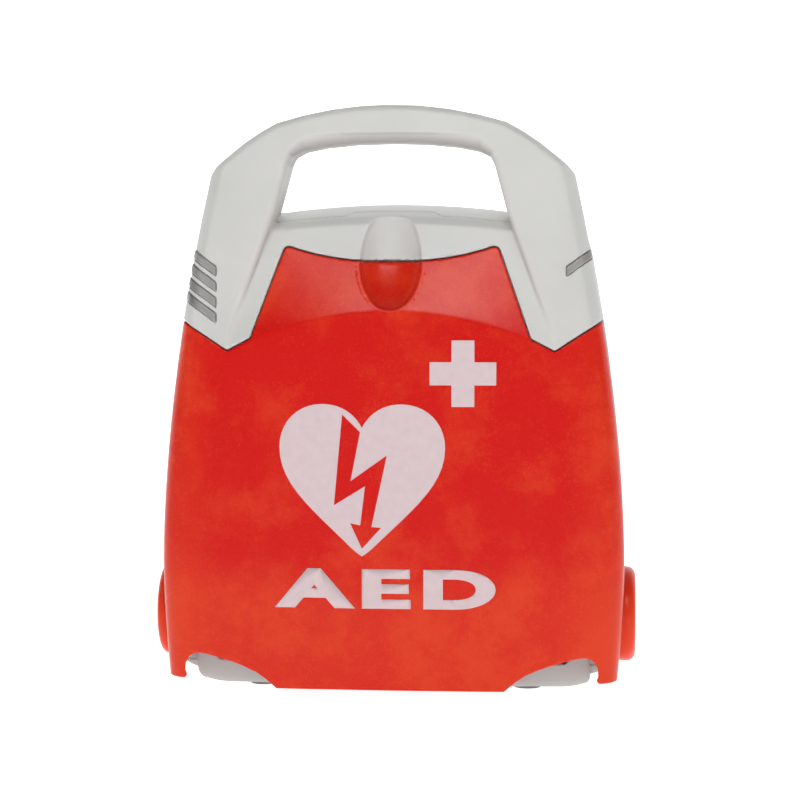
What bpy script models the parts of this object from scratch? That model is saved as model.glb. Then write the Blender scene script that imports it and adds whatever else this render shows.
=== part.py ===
"""A portable semi-automatic external defibrillator, standing upright.

A grey two-shell housing carries a handle, a control deck and the electronics. A red lid covers the deck and
turns on two pins low on its sides. Metres, +Z up, the front faces -Y, the origin is under the base's middle.
"""

import math

import bmesh
import bpy
from mathutils import Matrix, Vector

# Case: outer skin
FRONT_Y, BACK_Y = -0.050, 0.050
PARTING_Y = -0.028
WIDEST, WIDEST_Z = 0.1208, 0.068
SIDE_FALL, FALL_REACH, FALL_POWER = 0.0243, 0.192, 1.713
FACE_BOW, BOW_REACH = 0.004, 0.105
SIDE_DRAFT = 0.006
CORNER_R, BACK_CORNER_R = 0.012, 0.016
CROWN_Z, CROWN_FALL, CROWN_REACH = 0.254, 0.004, 0.060
BASE_Z = 0.0008
WALL = 0.0028
GAP = 0.0003

# Lean of the upper front, behind the knee line
KNEE_Z, KNEE_DROP, KNEE_REACH = 0.1985, 0.0145, 0.072
NECK_Z, NECK_Y = 0.246, -0.034
LEAN_FADE = (0.076, 0.086)

# Handle and shoulders
GRIP_Z, GRIP_FALL, GRIP_REACH = 0.304, 0.009, 0.059
SHOULDER_LEAN, SHOULDER_Z = 0.0535, 0.178
HANDLE_DEPTH, HANDLE_ROUND = 0.030, 0.004
SHOULDER_CORNER = ((0.0943, 0.2683), (0.0905, 0.2728), (0.0860, 0.2767), (0.0759, 0.2847), (0.0675, 0.2903))
OPENING = ((0.0, 0.2845), (0.018, 0.2840), (0.034, 0.2825), (0.045, 0.2803), (0.0508, 0.2775),
           (0.0532, 0.2730), (0.0602, 0.2475))
CREASE = ((0.0610, 0.2455), (0.0800, 0.1920), (0.0843, 0.1765))

# Lid
LID_WALL, LID_GAP, LID_EDGE_GAP = 0.0025, 0.0013, 0.0008
LID_TOP_MID, LID_TOP_RISE, LID_TOP_POWER = 0.2235, 0.0085, 2.4
LID_CORNER_X = 0.0548
LID_TOP_OUTER = ((LID_CORNER_X, LID_TOP_MID + LID_TOP_RISE), (0.0720, 0.1840), (0.0843, 0.1776),
                 (0.1090, 0.1935))
LID_BOTTOM = ((0.0590, 0.0027), (0.0699, 0.0109), (0.0820, 0.0159), (0.0960, 0.0196), (0.1020, 0.0203),
              (0.1065, 0.0181), (0.1090, 0.0142), (0.1145, 0.0070))
LID_REAR_TOP = (-0.030, 0.194)
HINGE_Y, HINGE_Z, EAR_R = 0.0, 0.037, 0.032
BOSS_R, BOSS_OUT, BOSS_CHAMFER, BOSS_IN = 0.025, 0.1285, 0.0022, 0.1158
PIN_R, PIN_CLEARANCE, PIN_HEAD_R = 0.005, 0.0003, 0.008
HUB_INNER_X, HUB_FACE_X, BASE_END_X, BASE_END_Z = 0.0995, 0.1140, 0.103, 0.030
BASE_LEVELS = (0.0005, 0.007, 0.015, 0.025, 0.037)
LID_HEEL = (-0.034, 0.007)
SCOOP_HALF, SCOOP_DOWN, SCOOP_UP, SCOOP_DEPTH = 0.0155, 0.0256, 0.0292, 0.0080
SCOOP_TILT = math.radians(18.6)
SCOOP_Y = -0.0415

# Deck behind the lid
DECK_Y = -0.031
DECK = ((0.090, 0.016), (0.101, 0.027), (0.101, 0.158), (0.095, 0.166), (0.078, 0.168),
        (0.066, 0.176), (0.050, 0.214), (0.0, 0.2085))
PANEL_X, PANEL_Z, PANEL_SIZE, PANEL_THICK = 0.070, 0.092, (0.050, 0.142), 0.0018
SHOCK_Z, SHOCK_R = 0.078, 0.0165
POWER_Z, POWER_R = 0.120, 0.0115
BUTTON_TRAVEL, BUTTON_FRONT_Y, BUTTON_FLANGE = 0.002, -0.0375, 0.002
SOCKET_Z = 0.038
LENS_Z = 0.148
SPEAKER_X, SPEAKER_Z, SPEAKER_R = -0.040, 0.158, 0.023

# Slots in the shoulders
SLOT_INNER_X, SLOT_OUTER_X, SLOT_Z, SLOT_HEIGHT, SLOT_PITCH = 0.090, 0.112, 0.216, 0.0051, 0.00805
SLOT_RISE = 0.72
SLOT_COUNT = 4
BACKING = ((-0.0895, 0.1929), (-0.0985, 0.1984), (-0.0985, 0.2265), (-0.0895, 0.2205))
BACKING_Y = (-0.0385, -0.0365)

# Battery bay in the back
BAY_HALF, BAY_LOW, BAY_HIGH, BAY_FRONT_Y, BAY_WALL = 0.0615, 0.028, 0.107, 0.010, 0.002
LATCH_SIZE = (0.022, 0.0035, 0.012)

# Screws
STUD_PLACES = ((-0.038, 0.2195), (0.038, 0.2195))
CASE_SCREWS = ((-0.084, 0.205), (0.084, 0.205), (-0.098, 0.120), (0.098, 0.120), (-0.080, 0.022),
               (0.080, 0.022))
BOSS_FRONT_Y = (-0.0440, -0.0440, -0.0305, -0.0305, -0.0305, -0.0305)
SCREW_R, SCREW_HEAD_R = 0.0015, 0.0028
POST_R = 0.0030
PILLAR_R = 0.0048
PILLAR_FRONT_Y, SCREW_SEAT_Y = -0.012, -0.006
BOARD_Y, BOARD_THICK = -0.018, 0.0016
POSTS = ((-0.066, 0.196, -0.0415), (0.066, 0.196, -0.0415), (-0.066, 0.120, -0.0292), (0.040, 0.120, -0.0292),
         (0.052, 0.054, -0.0292), (0.088, 0.104, -0.0292))
POWER_BOARD_Y = 0.0005
POWER_POSTS = ((-0.055, 0.100), (0.030, 0.034))
CHIPS = ((0.000, 0.184, 0.020, 0.020, 0.002), (0.027, 0.183, 0.014, 0.014, 0.002),
         (0.050, 0.180, 0.016, 0.010, 0.003), (-0.006, 0.126, 0.012, 0.012, 0.004))

FEET = ((-0.070, -0.016), (0.070, -0.016), (-0.070, 0.024), (0.070, 0.024))
FOOT_R, FOOT_SUNK = 0.007, 0.0015
FOOT_HEIGHT = BASE_Z + FOOT_SUNK - GAP

COLOURS = {
    "red_gloss": ((0.62, 0.012, 0.006), 0.18, 0.0),
    "grey_shell": ((0.55, 0.55, 0.53), 0.45, 0.0),
    "dark_grey": ((0.33, 0.33, 0.31), 0.35, 0.0),
    "panel": ((0.78, 0.78, 0.76), 0.40, 0.0),
    "green": ((0.02, 0.42, 0.08), 0.30, 0.0),
    "orange": ((0.90, 0.22, 0.02), 0.30, 0.0),
    "steel": ((0.60, 0.60, 0.62), 0.30, 1.0),
    "black": ((0.02, 0.02, 0.02), 0.50, 0.0),
    "board": ((0.02, 0.20, 0.07), 0.45, 0.0),
    "blue_sleeve": ((0.03, 0.10, 0.35), 0.35, 0.0),
    "copper": ((0.72, 0.32, 0.14), 0.35, 1.0),
    "rubber": ((0.04, 0.04, 0.04), 0.80, 0.0),
    "foil": ((0.80, 0.81, 0.82), 0.30, 0.6),
    "clear": ((0.75, 0.80, 0.78), 0.10, 0.0),
}




# Scene and objects


def clear_scene():
    for old in list(bpy.data.objects):
        bpy.data.objects.remove(old, do_unlink=True)


def new_collection(name):
    group = bpy.data.collections.new(name)
    bpy.context.scene.collection.children.link(group)
    return group


def material(name):
    found = bpy.data.materials.get(name)
    if found:
        return found
    colour, roughness, metallic = COLOURS[name]
    made = bpy.data.materials.new(name)
    made.use_nodes = True
    shader = made.node_tree.nodes["Principled BSDF"]
    shader.inputs["Base Color"].default_value = (*colour, 1.0)
    shader.inputs["Roughness"].default_value = roughness
    shader.inputs["Metallic"].default_value = metallic
    made.diffuse_color = (*colour, 1.0)
    return made


def place(name, mesh, look):
    """A new object, among the parts where it has a look, and otherwise among the hidden cutters."""
    made = bpy.data.objects.new(name, mesh)
    if look:
        PARTS.objects.link(made)
        mesh.materials.clear()
        mesh.materials.append(material(look))
    else:
        CUTTERS.objects.link(made)
        made.hide_render = True
        made.display_type = "WIRE"
    return made


def finish_bmesh(name, bm, look):
    bmesh.ops.recalc_face_normals(bm, faces=bm.faces)
    mesh = bpy.data.meshes.new(name)
    bm.to_mesh(mesh)
    bm.free()
    return place(name, mesh, look)


def boolean(target, tool, operation):
    step = target.modifiers.new(operation.lower() + "_" + tool.name, "BOOLEAN")
    step.operation = operation
    step.object = tool
    step.solver = "EXACT"


def cut(target, *tools):
    for tool in tools:
        boolean(target, tool, "DIFFERENCE")


def join(target, *tools):
    for tool in tools:
        boolean(target, tool, "UNION")


def keep_inside(target, tool):
    boolean(target, tool, "INTERSECT")


def round_edges(target, width, segments=1, angle=40):
    step = target.modifiers.new("rounding", "BEVEL")
    step.width = width
    step.segments = segments
    step.limit_method = "ANGLE"
    step.angle_limit = math.radians(angle)


# Shapes


def box(name, low, high, look=None):
    bm = bmesh.new()
    size = Vector(high) - Vector(low)
    middle = (Vector(high) + Vector(low)) / 2
    bmesh.ops.create_cube(bm, size=1.0, matrix=Matrix.Translation(middle) @ Matrix.Diagonal((*size, 1.0)))
    return finish_bmesh(name, bm, look)


AXIS_TURN = {
    "X": Matrix.Rotation(math.pi / 2, 4, "Y"),
    "Y": Matrix.Rotation(-math.pi / 2, 4, "X"),
    "Z": Matrix.Identity(4),
}


def rod(name, centre, axis, radius, length, look=None, sides=32):
    """A round bar about a row axis, its middle at centre."""
    bm = bmesh.new()
    bmesh.ops.create_cone(
        bm, cap_ends=True, segments=sides, radius1=radius,
        radius2=radius, depth=length,
        matrix=Matrix.Translation(centre) @ AXIS_TURN[axis],
    )
    return finish_bmesh(name, bm, look)


def turned(name, profile, centre, axis, look=None, steps=32):
    """A profile of (radius, height) turned about the axis, from the far end's middle to the near end's."""
    mesh = bpy.data.meshes.new(name)
    mesh.from_pydata([(r, 0.0, h) for r, h in profile], [(i, i + 1) for i in range(len(profile) - 1)], [])
    made = place(name, mesh, look)
    spin = made.modifiers.new("turning", "SCREW")
    spin.steps = spin.render_steps = steps
    spin.use_merge_vertices = True
    spin.merge_threshold = 0.00001
    made.matrix_world = Matrix.Translation(centre) @ AXIS_TURN[axis]
    return made


FRONT_VIEW = Matrix(((1, 0, 0, 0), (0, 0, -1, 0), (0, 1, 0, 0), (0, 0, 0, 1)))
SIDE_VIEW = Matrix(((0, 0, 1, 0), (1, 0, 0, 0), (0, 1, 0, 0), (0, 0, 0, 1)))


def plate(name, loops, view, low, high, look=None, rounding=0.0):
    """Flat loops, the first the edge and the rest holes, given a thickness from low to high across a view."""
    curve = bpy.data.curves.new(name, "CURVE")
    curve.dimensions = "2D"
    curve.fill_mode = "BOTH"
    curve.extrude = (high - low) / 2 - rounding
    curve.bevel_depth = rounding
    curve.bevel_resolution = 1
    curve.offset = -rounding
    for loop in loops:
        spline = curve.splines.new("POLY")
        spline.points.add(len(loop) - 1)
        spline.use_cyclic_u = True
        for point, (across, up) in zip(spline.points, loop):
            point.co = (across, up, 0.0, 1.0)
    guide = bpy.data.objects.new(name + "_outline", curve)
    bpy.context.scene.collection.objects.link(guide)
    graph = bpy.context.evaluated_depsgraph_get()
    mesh = bpy.data.meshes.new_from_object(guide.evaluated_get(graph))
    bpy.data.objects.remove(guide)
    bm = bmesh.new()
    bm.from_mesh(mesh)
    bpy.data.meshes.remove(mesh)
    bmesh.ops.remove_doubles(bm, verts=bm.verts, dist=0.000002)
    middle = (low + high) / 2
    away = Matrix.Translation((0, 0, -middle if view == FRONT_VIEW else middle))
    bmesh.ops.transform(bm, matrix=view @ away, verts=bm.verts)
    return finish_bmesh(name, bm, look)


def loft(name, rings, look=None):
    """Closed rings of equal length joined in order, with flat ends."""
    bm = bmesh.new()
    levels = [[bm.verts.new(point) for point in ring] for ring in rings]
    for lower, upper in zip(levels, levels[1:]):
        for i in range(len(lower)):
            j = (i + 1) % len(lower)
            bm.faces.new((lower[i], lower[j], upper[j], upper[i]))
    bm.faces.new(levels[0][::-1])
    bm.faces.new(levels[-1])
    bmesh.ops.triangulate(bm, faces=bm.faces)
    return finish_bmesh(name, bm, look)


def mirrored(half):
    """A closed loop from its right half."""
    return list(half) + [(-x, up) for x, up in reversed(half) if x > 0]


def grown(loop, by):
    """A loop moved outwards by a distance, or inwards where it is negative, with its corners kept sharp."""
    area = sum(ax * bz - bx * az for (ax, az), (bx, bz) in zip(loop, loop[1:] + loop[:1]))
    side = by if area > 0 else -by
    moved = []
    for before, here, after in zip(loop[-1:] + loop[:-1], loop, loop[1:] + loop[:1]):
        entry = (Vector(here) - Vector(before)).normalized()
        leave = (Vector(after) - Vector(here)).normalized()
        out = Vector((entry.y + leave.y, -entry.x - leave.x)).normalized()
        reach = side / max(0.35, out.dot(Vector((entry.y, -entry.x))))
        moved.append((here[0] + out.x * reach, here[1] + out.y * reach))
    return moved


def rounded_rectangle(x, z, width, height, radius, steps=4):
    loop = []
    for turn, (sx, sz) in enumerate(((1, 1), (-1, 1), (-1, -1), (1, -1))):
        for k in range(steps + 1):
            angle = math.pi / 2 * (turn + k / steps)
            loop.append((x + sx * (width / 2 - radius) + radius * math.cos(angle),
                         z + sz * (height / 2 - radius) + radius * math.sin(angle)))
    return loop


def along(points, x):
    """Height of a broken line at x, level beyond its ends."""
    if x <= points[0][0]:
        return points[0][1]
    for (ax, az), (bx, bz) in zip(points, points[1:]):
        if x <= bx:
            return az + (bz - az) * (x - ax) / (bx - ax)
    return points[-1][1]


# The case's skin


def half_width(z):
    return WIDEST - SIDE_FALL * (abs(z - WIDEST_Z) / FALL_REACH) ** FALL_POWER


def bow(x):
    return FACE_BOW * (x / BOW_REACH) ** 2


def knee(x):
    return KNEE_Z - KNEE_DROP * (min(abs(x), CREASE[-1][0]) / KNEE_REACH) ** 2


def body_face(x, z):
    """Front of the body: bowed below the knee, leaning back above it to the neck's top edge."""
    front = FRONT_Y + bow(x)
    lean = max(0.0, z - knee(x)) / (NECK_Z - knee(x))
    return front + lean * (NECK_Y - front)


def lid_face(x, z):
    """Front of the lid, which is the body's line but stays upright outside the shoulder points."""
    fade = (abs(x) - LEAN_FADE[0]) / (LEAN_FADE[1] - LEAN_FADE[0])
    fade = min(1.0, max(0.0, fade))
    upright = FRONT_Y + bow(x)
    return body_face(x, z) * (1 - fade) + upright * fade


def swept_face(inset):
    """The lid's face for a skin drawn in by an inset. Below the hinge it is round, so the lid swings past."""
    def face(x, z):
        drop = HINGE_Z - z
        if drop <= 0.0:
            return lid_face(x, z)
        radius = -lid_face(x, HINGE_Z) - inset
        return -math.sqrt(max(0.0, radius ** 2 - drop ** 2)) - inset
    return face


def shoulder_shift(x, z):
    return bow(x) + SHOULDER_LEAN * max(0.0, z - SHOULDER_Z)


def shoulder_face(x, z):
    return FRONT_Y - 0.001 + shoulder_shift(x, z)


def skin_point(column, z, face, inset=0.0, back_inset=0.0):
    """Where a column of the skin passes height z, on the face, the corner, the side or the back."""
    kind, value = column
    half = half_width(z)
    corner_x = half - CORNER_R
    corner_y = face(corner_x, z) + CORNER_R
    back_x = half - SIDE_DRAFT * (BACK_Y - BACK_CORNER_R - corner_y) - BACK_CORNER_R
    if kind == "face":
        x = value * corner_x
        return Vector((x, face(x, z) + inset, z))
    if kind == "corner":
        reach = CORNER_R - inset
        return Vector((corner_x + reach * math.sin(value), corner_y - reach * math.cos(value), z))
    if kind == "side":
        y = value if value > corner_y + 0.001 else corner_y + 0.001 * (value + 0.1) / (0.1 + corner_y)
        return Vector((half - inset - SIDE_DRAFT * max(0.0, y - corner_y), y, z))
    reach_x, reach_y = BACK_CORNER_R - inset, BACK_CORNER_R - back_inset
    return Vector((back_x + reach_x * math.cos(value), BACK_Y - BACK_CORNER_R + reach_y * math.sin(value), z))


def quarter(steps, start=1):
    return [math.pi / 2 * k / steps for k in range(start, steps + 1)]


SKIN_COLUMNS = (
    [("face", s) for s in (0.0, 0.34, 0.62, 0.82, 1.0)]
    + [("corner", a) for a in quarter(3)]
    + [("side", 0.0)]
    + [("back", a) for a in quarter(3, start=0)]
)


def skin_loft(name, face, low, high, inset=0.0, back_inset=0.0, base_levels=()):
    """The whole case between two heights, as a stack of horizontal sections that follow the knee line."""
    lower_steps = (0.0, 0.2, 0.4, 0.6, 0.8, 1.0)
    upper_steps = (0.25, 0.55, 1.0)
    start = base_levels[-1] if base_levels else low
    levels = [[] for _ in lower_steps + upper_steps + base_levels]
    for column in SKIN_COLUMNS:
        bend = knee(column[1] * CREASE[-1][0] * 1.2) if column[0] == "face" else knee(CREASE[-1][0])
        heights = [low] + list(base_levels[:-1]) if base_levels else []
        heights += [start + (bend - start) * t for t in lower_steps]
        heights += [bend + (high - bend) * t for t in upper_steps]
        for level, z in zip(levels, heights):
            level.append(skin_point(column, z, face, inset, back_inset))
    rings = []
    for half in levels:
        left = [Vector((-p.x, p.y, p.z)) for p in reversed(half[1:])]
        rings.append(left + half)
    return loft(name, rings)


def roll(distance, reach, fall):
    """How far a rounded edge has fallen at a distance past where it starts."""
    t = min(0.999, max(0.0, distance / reach))
    return fall * (1 - math.sqrt(1 - t * t))


def crown(x, y):
    """Height of the body's top behind the neck."""
    x = abs(x)
    height = CROWN_Z - CROWN_FALL * (min(x, CROWN_REACH) / CROWN_REACH) ** 2
    height -= roll(x - CROWN_REACH, 0.048, 0.027)
    height -= 0.032 * (max(0.0, y - 0.010) / 0.040) ** 2.2
    return height - 0.008 * (max(0.0, 0.010 - max(y, NECK_Y)) / 0.044) ** 2


def underside(x, y):
    """Height of the base, which rolls up at its ends, its back and its front."""
    ends = roll(abs(x) - 0.088, 0.030, 0.026)
    return BASE_Z + max(ends, roll(y - 0.034, 0.0165, 0.016), roll(-0.038 - y, 0.009, 0.008))


def body_slab(name, inset=0.0):
    """Everything between the base and the crown."""
    half = (0.0, 0.060, 0.074, 0.088, 0.098, 0.106, 0.112, 0.1165, 0.125)
    across = [-x for x in reversed(half[1:])] + list(half)
    depths = (-0.060, -0.0465, -0.043, -0.038, -0.034, -0.010, 0.010, 0.026, 0.036, 0.043, 0.0485, 0.052)
    rings = []
    for x in across:
        top = [(x, y, crown(x, y) - inset) for y in depths]
        bottom = [(x, y, underside(x, y) + inset) for y in reversed(depths)]
        rings.append(top + bottom)
    return loft(name, rings)


# Handle and shoulders, as one horseshoe


def horseshoe_outline(foot):
    """The horseshoe's loop in front view: up the outer side, over the grip, and down round the opening."""
    outer = [(half_width(z) - 0.0004, z) for z in (foot, 0.190, 0.210, 0.230, 0.246, 0.258)]
    outer += list(SHOULDER_CORNER)
    outer += [(x, GRIP_Z - GRIP_FALL * (x / GRIP_REACH) ** 2) for x in (0.059, 0.045, 0.030, 0.015)]
    inner = [(0.0862, foot)] + list(reversed(CREASE)) + list(reversed(OPENING))
    left_outer = [(-x, z) for x, z in reversed(outer)]
    left_inner = [(-x, z) for x, z in reversed(inner[:-1])]
    return outer + [(0.0, GRIP_Z)] + left_outer + left_inner[::-1] + [inner[-1]] + inner[:-1][::-1]


def lean_back(made):
    """Bends a flat piece to the shoulders' bow and lean."""
    bm = bmesh.new()
    bm.from_mesh(made.data)
    bmesh.ops.triangulate(bm, faces=bm.faces)
    for vertex in bm.verts:
        vertex.co.y += shoulder_shift(vertex.co.x, vertex.co.z)
    bm.to_mesh(made.data)
    bm.free()


def horseshoe(name):
    made = plate(name, [horseshoe_outline(0.170)], FRONT_VIEW, FRONT_Y, FRONT_Y + HANDLE_DEPTH,
                 rounding=HANDLE_ROUND)
    lean_back(made)
    rounder = skin_loft(name + "_corner", shoulder_face, 0.150, 0.320)
    keep_inside(made, rounder)
    return made


def horseshoe_hollow(name):
    made = plate(name, [grown(horseshoe_outline(0.170), -WALL)], FRONT_VIEW, FRONT_Y + WALL + 0.0004,
                 FRONT_Y + HANDLE_DEPTH - WALL)
    lean_back(made)
    cut(made, plate(name + "_floor", [lid_outline(LID_EDGE_GAP + WALL)], FRONT_VIEW, -0.080, 0.020))
    return made


# The lid's outline and the room it takes


def lid_top(x):
    x = abs(x)
    if x < LID_CORNER_X:
        return LID_TOP_MID + LID_TOP_RISE * (x / LID_CORNER_X) ** LID_TOP_POWER
    return along(LID_TOP_OUTER, x)


def lid_bottom(x):
    return along(LID_BOTTOM, abs(x))


def ear_tangent(radius, shift):
    """Where the lid's straight rear edge meets its round ear."""
    away_y, away_z = LID_REAR_TOP[0] + shift - HINGE_Y, LID_REAR_TOP[1] - HINGE_Z
    angle = math.atan2(away_z, away_y) - math.acos(radius / math.hypot(away_y, away_z))
    return angle, HINGE_Y + radius * math.cos(angle), HINGE_Z + radius * math.sin(angle)


def side_top(y):
    _, tangent_y, tangent_z = ear_tangent(EAR_R, 0.0)
    if y < tangent_y:
        return min(LID_REAR_TOP[1], along((LID_REAR_TOP, (tangent_y, tangent_z)), y))
    return HINGE_Z + math.sqrt(EAR_R ** 2 - (y - HINGE_Y) ** 2)


def side_bottom(y):
    """The ear's round lower edge, and in front of it the short leg down to the heel."""
    ear_y = HINGE_Y - 0.8 * EAR_R
    if y < ear_y:
        return along((LID_HEEL, (ear_y, HINGE_Z - 0.6 * EAR_R)), y)
    return HINGE_Z - math.sqrt(EAR_R ** 2 - (y - HINGE_Y) ** 2)


LID_COLUMNS = (
    [("face", s) for s in (0.0, 0.08, 0.165, 0.235, 0.34, 0.45, 0.55, 0.603, 0.62, 0.66, 0.70, 0.731, 0.77,
                           0.81, 0.848, 0.89, 0.93, 0.97, 1.0)]
    + [("corner", a) for a in quarter(4)]
    + [("side", y) for y in (-0.0300, -0.0256, -0.019, -0.010, 0.0, 0.010, 0.019, 0.026, 0.0296, 0.0316)]
)


def lid_height(column, edge, side_edge):
    """Height at which a column meets one of the lid's edges. It leans, so this settles in a few steps."""
    if column[0] == "side":
        return side_edge(column[1])
    z = 0.1
    for _ in range(12):
        z = edge(skin_point(column, z, lid_face).x)
    return z


def lid_shell():
    """The lid's open outer skin, thickened inwards."""
    lower, upper = 5, 2
    strips = []
    for column in LID_COLUMNS:
        bottom = lid_height(column, lid_bottom, side_bottom)
        top = lid_height(column, lid_top, side_top)
        bend = knee(skin_point(column, top, lid_face).x)
        share = min(0.9, (bend - bottom) / (top - bottom))
        steps = [share * k / lower for k in range(lower)]
        steps += [share + (1 - share) * k / upper for k in range(upper + 1)]
        strips.append([skin_point(column, bottom + (top - bottom) * t, lid_face) for t in steps])
    left = [[Vector((-p.x, p.y, p.z)) for p in strip] for strip in reversed(strips[1:])]
    bm = bmesh.new()
    grid = [[bm.verts.new(point) for point in strip] for strip in left + strips]
    for near, far in zip(grid, grid[1:]):
        for k in range(len(near) - 1):
            bm.faces.new((near[k], far[k], far[k + 1], near[k + 1]))
    mesh = bpy.data.meshes.new("lid_cover")
    bm.to_mesh(mesh)
    bm.free()
    made = place("lid_cover", mesh, "red_gloss")
    shell = made.modifiers.new("thickness", "SOLIDIFY")
    shell.thickness = LID_WALL
    shell.offset = -1.0
    return made


def lid_outline(by):
    """The lid's outline in front view, run out past the sides and the base, and moved out by a distance."""
    side_z = LID_REAR_TOP[1]
    half = [(0.0, LID_TOP_MID), (0.020, lid_top(0.020)), (0.040, lid_top(0.040))] + list(LID_TOP_OUTER[:-1])
    half += [(0.0970, lid_top(0.0970)), (0.1060, side_z), (0.135, side_z), (0.135, -0.012)]
    return grown(mirrored(half), by)


def lid_room():
    """The space that the lid and its swing take out of the housing, down to a running gap behind it."""
    room = plate("lid_room", [lid_outline(LID_EDGE_GAP)], FRONT_VIEW, -0.070, 0.062)
    reach = EAR_R + 0.0016
    angle, _, _ = ear_tangent(reach, 0.0014)
    turns = [angle * k / 3 for k in range(4)]
    ear = [(HINGE_Y + reach * math.cos(turn), HINGE_Z + reach * math.sin(turn)) for turn in turns]
    side = [(-0.080, -0.020), (0.070, -0.020), (0.070, HINGE_Z)] + ear
    rear_y, rear_z = LID_REAR_TOP[0] + 0.0014, LID_REAR_TOP[1] + 0.001
    side += [(rear_y, rear_z), (rear_y, 0.250), (-0.080, 0.250)]
    keep_inside(room, plate("lid_side_room", [side], SIDE_VIEW, -0.140, 0.140))
    inset = LID_WALL + LID_GAP
    cut(room, skin_loft("lid_core", swept_face(inset), -0.030, 0.262, inset=inset, base_levels=BASE_LEVELS))
    return room


def base_end_room():
    """The corners that the lid's lower flanges sweep, which leave the round hubs standing."""
    room = box("base_end_room", (-0.140, -0.070, -0.020), (0.140, 0.070, BASE_END_Z))
    cut(room, box("base_end_keep", (-BASE_END_X, -0.080, -0.030), (BASE_END_X, 0.080, 0.040)))
    cut(room, rod("hub_keep", (0, HINGE_Y, HINGE_Z), "X", EAR_R + 0.0005, 0.3, sides=36))
    return room


def scoop(name, up, extra):
    """The finger scoop: half an egg sunk in the leaning face, longer below the lid's edge or above it."""
    bm = bmesh.new()
    bmesh.ops.create_uvsphere(bm, u_segments=20, v_segments=10, radius=1.0,
                              matrix=Matrix.Rotation(math.pi / 2, 4, "Y"))
    size = Matrix.Diagonal((SCOOP_HALF + extra, SCOOP_DEPTH + extra, up + extra, 1.0))
    tilt = Matrix.Rotation(-SCOOP_TILT, 4, "X")
    place = Matrix.Translation((0, SCOOP_Y, LID_TOP_MID))
    bmesh.ops.transform(bm, matrix=place @ tilt @ size, verts=bm.verts)
    return finish_bmesh(name, bm, None)


def slot_outline(index):
    """A slanted slot that runs off the shoulder's side."""
    low = SLOT_Z - index * SLOT_PITCH
    rise = SLOT_RISE * (SLOT_OUTER_X - SLOT_INNER_X)
    return [(SLOT_INNER_X, low), (SLOT_OUTER_X, low + rise), (SLOT_OUTER_X, low + rise + SLOT_HEIGHT),
            (SLOT_INNER_X, low + SLOT_HEIGHT)]


# Housing shells


def deck_prism(name, by, low, high):
    return plate(name, [grown(mirrored(DECK), by)], FRONT_VIEW, low, high)


def well_box(name, by, front, back):
    return box(name, (-BAY_HALF - by, front, BAY_LOW - by), (BAY_HALF + by, back, BAY_HIGH + by))


def body_solid(name, look):
    """The whole housing before it is split: tub, handle and shoulders."""
    made = skin_loft(name, body_face, -0.012, 0.262)
    PARTS.objects.link(made)
    CUTTERS.objects.unlink(made)
    made.hide_render = False
    made.display_type = "TEXTURED"
    made.data.materials.append(material(look))
    keep_inside(made, SHARED["slab"])
    join(made, SHARED["horseshoe"])
    cut(made, SHARED["lid_room"], SHARED["base_end_room"])
    for side in (-1, 1):
        cut(made, rod("hub_face", (side * (HUB_FACE_X + 0.02), HINGE_Y, HINGE_Z), "X", EAR_R + 0.0015, 0.04,
                      sides=36))
    return made


def make_shared():
    SHARED["slab"] = body_slab("body_slab")
    SHARED["horseshoe"] = horseshoe("horseshoe")
    SHARED["horseshoe_hollow"] = horseshoe_hollow("horseshoe_hollow")
    SHARED["lid_room"] = lid_room()
    SHARED["base_end_room"] = base_end_room()
    inset = LID_WALL + LID_GAP + WALL
    hollow = skin_loft("body_hollow", swept_face(inset), -0.012, 0.262, inset=inset, back_inset=WALL,
                       base_levels=BASE_LEVELS)
    keep_inside(hollow, body_slab("hollow_slab", WALL))
    for side in (-1, 1):
        inner, outer = sorted((side * HUB_INNER_X, side * 0.14))
        cut(hollow, box("base_end_wall", (inner, -0.07, -0.02), (outer, 0.07, BASE_END_Z + WALL)))
        cut(hollow, rod("hub_wall", (side * 0.12, HINGE_Y, HINGE_Z), "X", EAR_R + 0.0005, 0.0424, sides=32))
    SHARED["hollow"] = hollow
    SHARED["front_half"] = box("front_half", (-0.15, -0.08, -0.02), (0.15, PARTING_Y + GAP / 2, 0.33))
    SHARED["rear_half"] = box("rear_half", (-0.15, PARTING_Y - GAP / 2, -0.02), (0.15, 0.08, 0.33))


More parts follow.
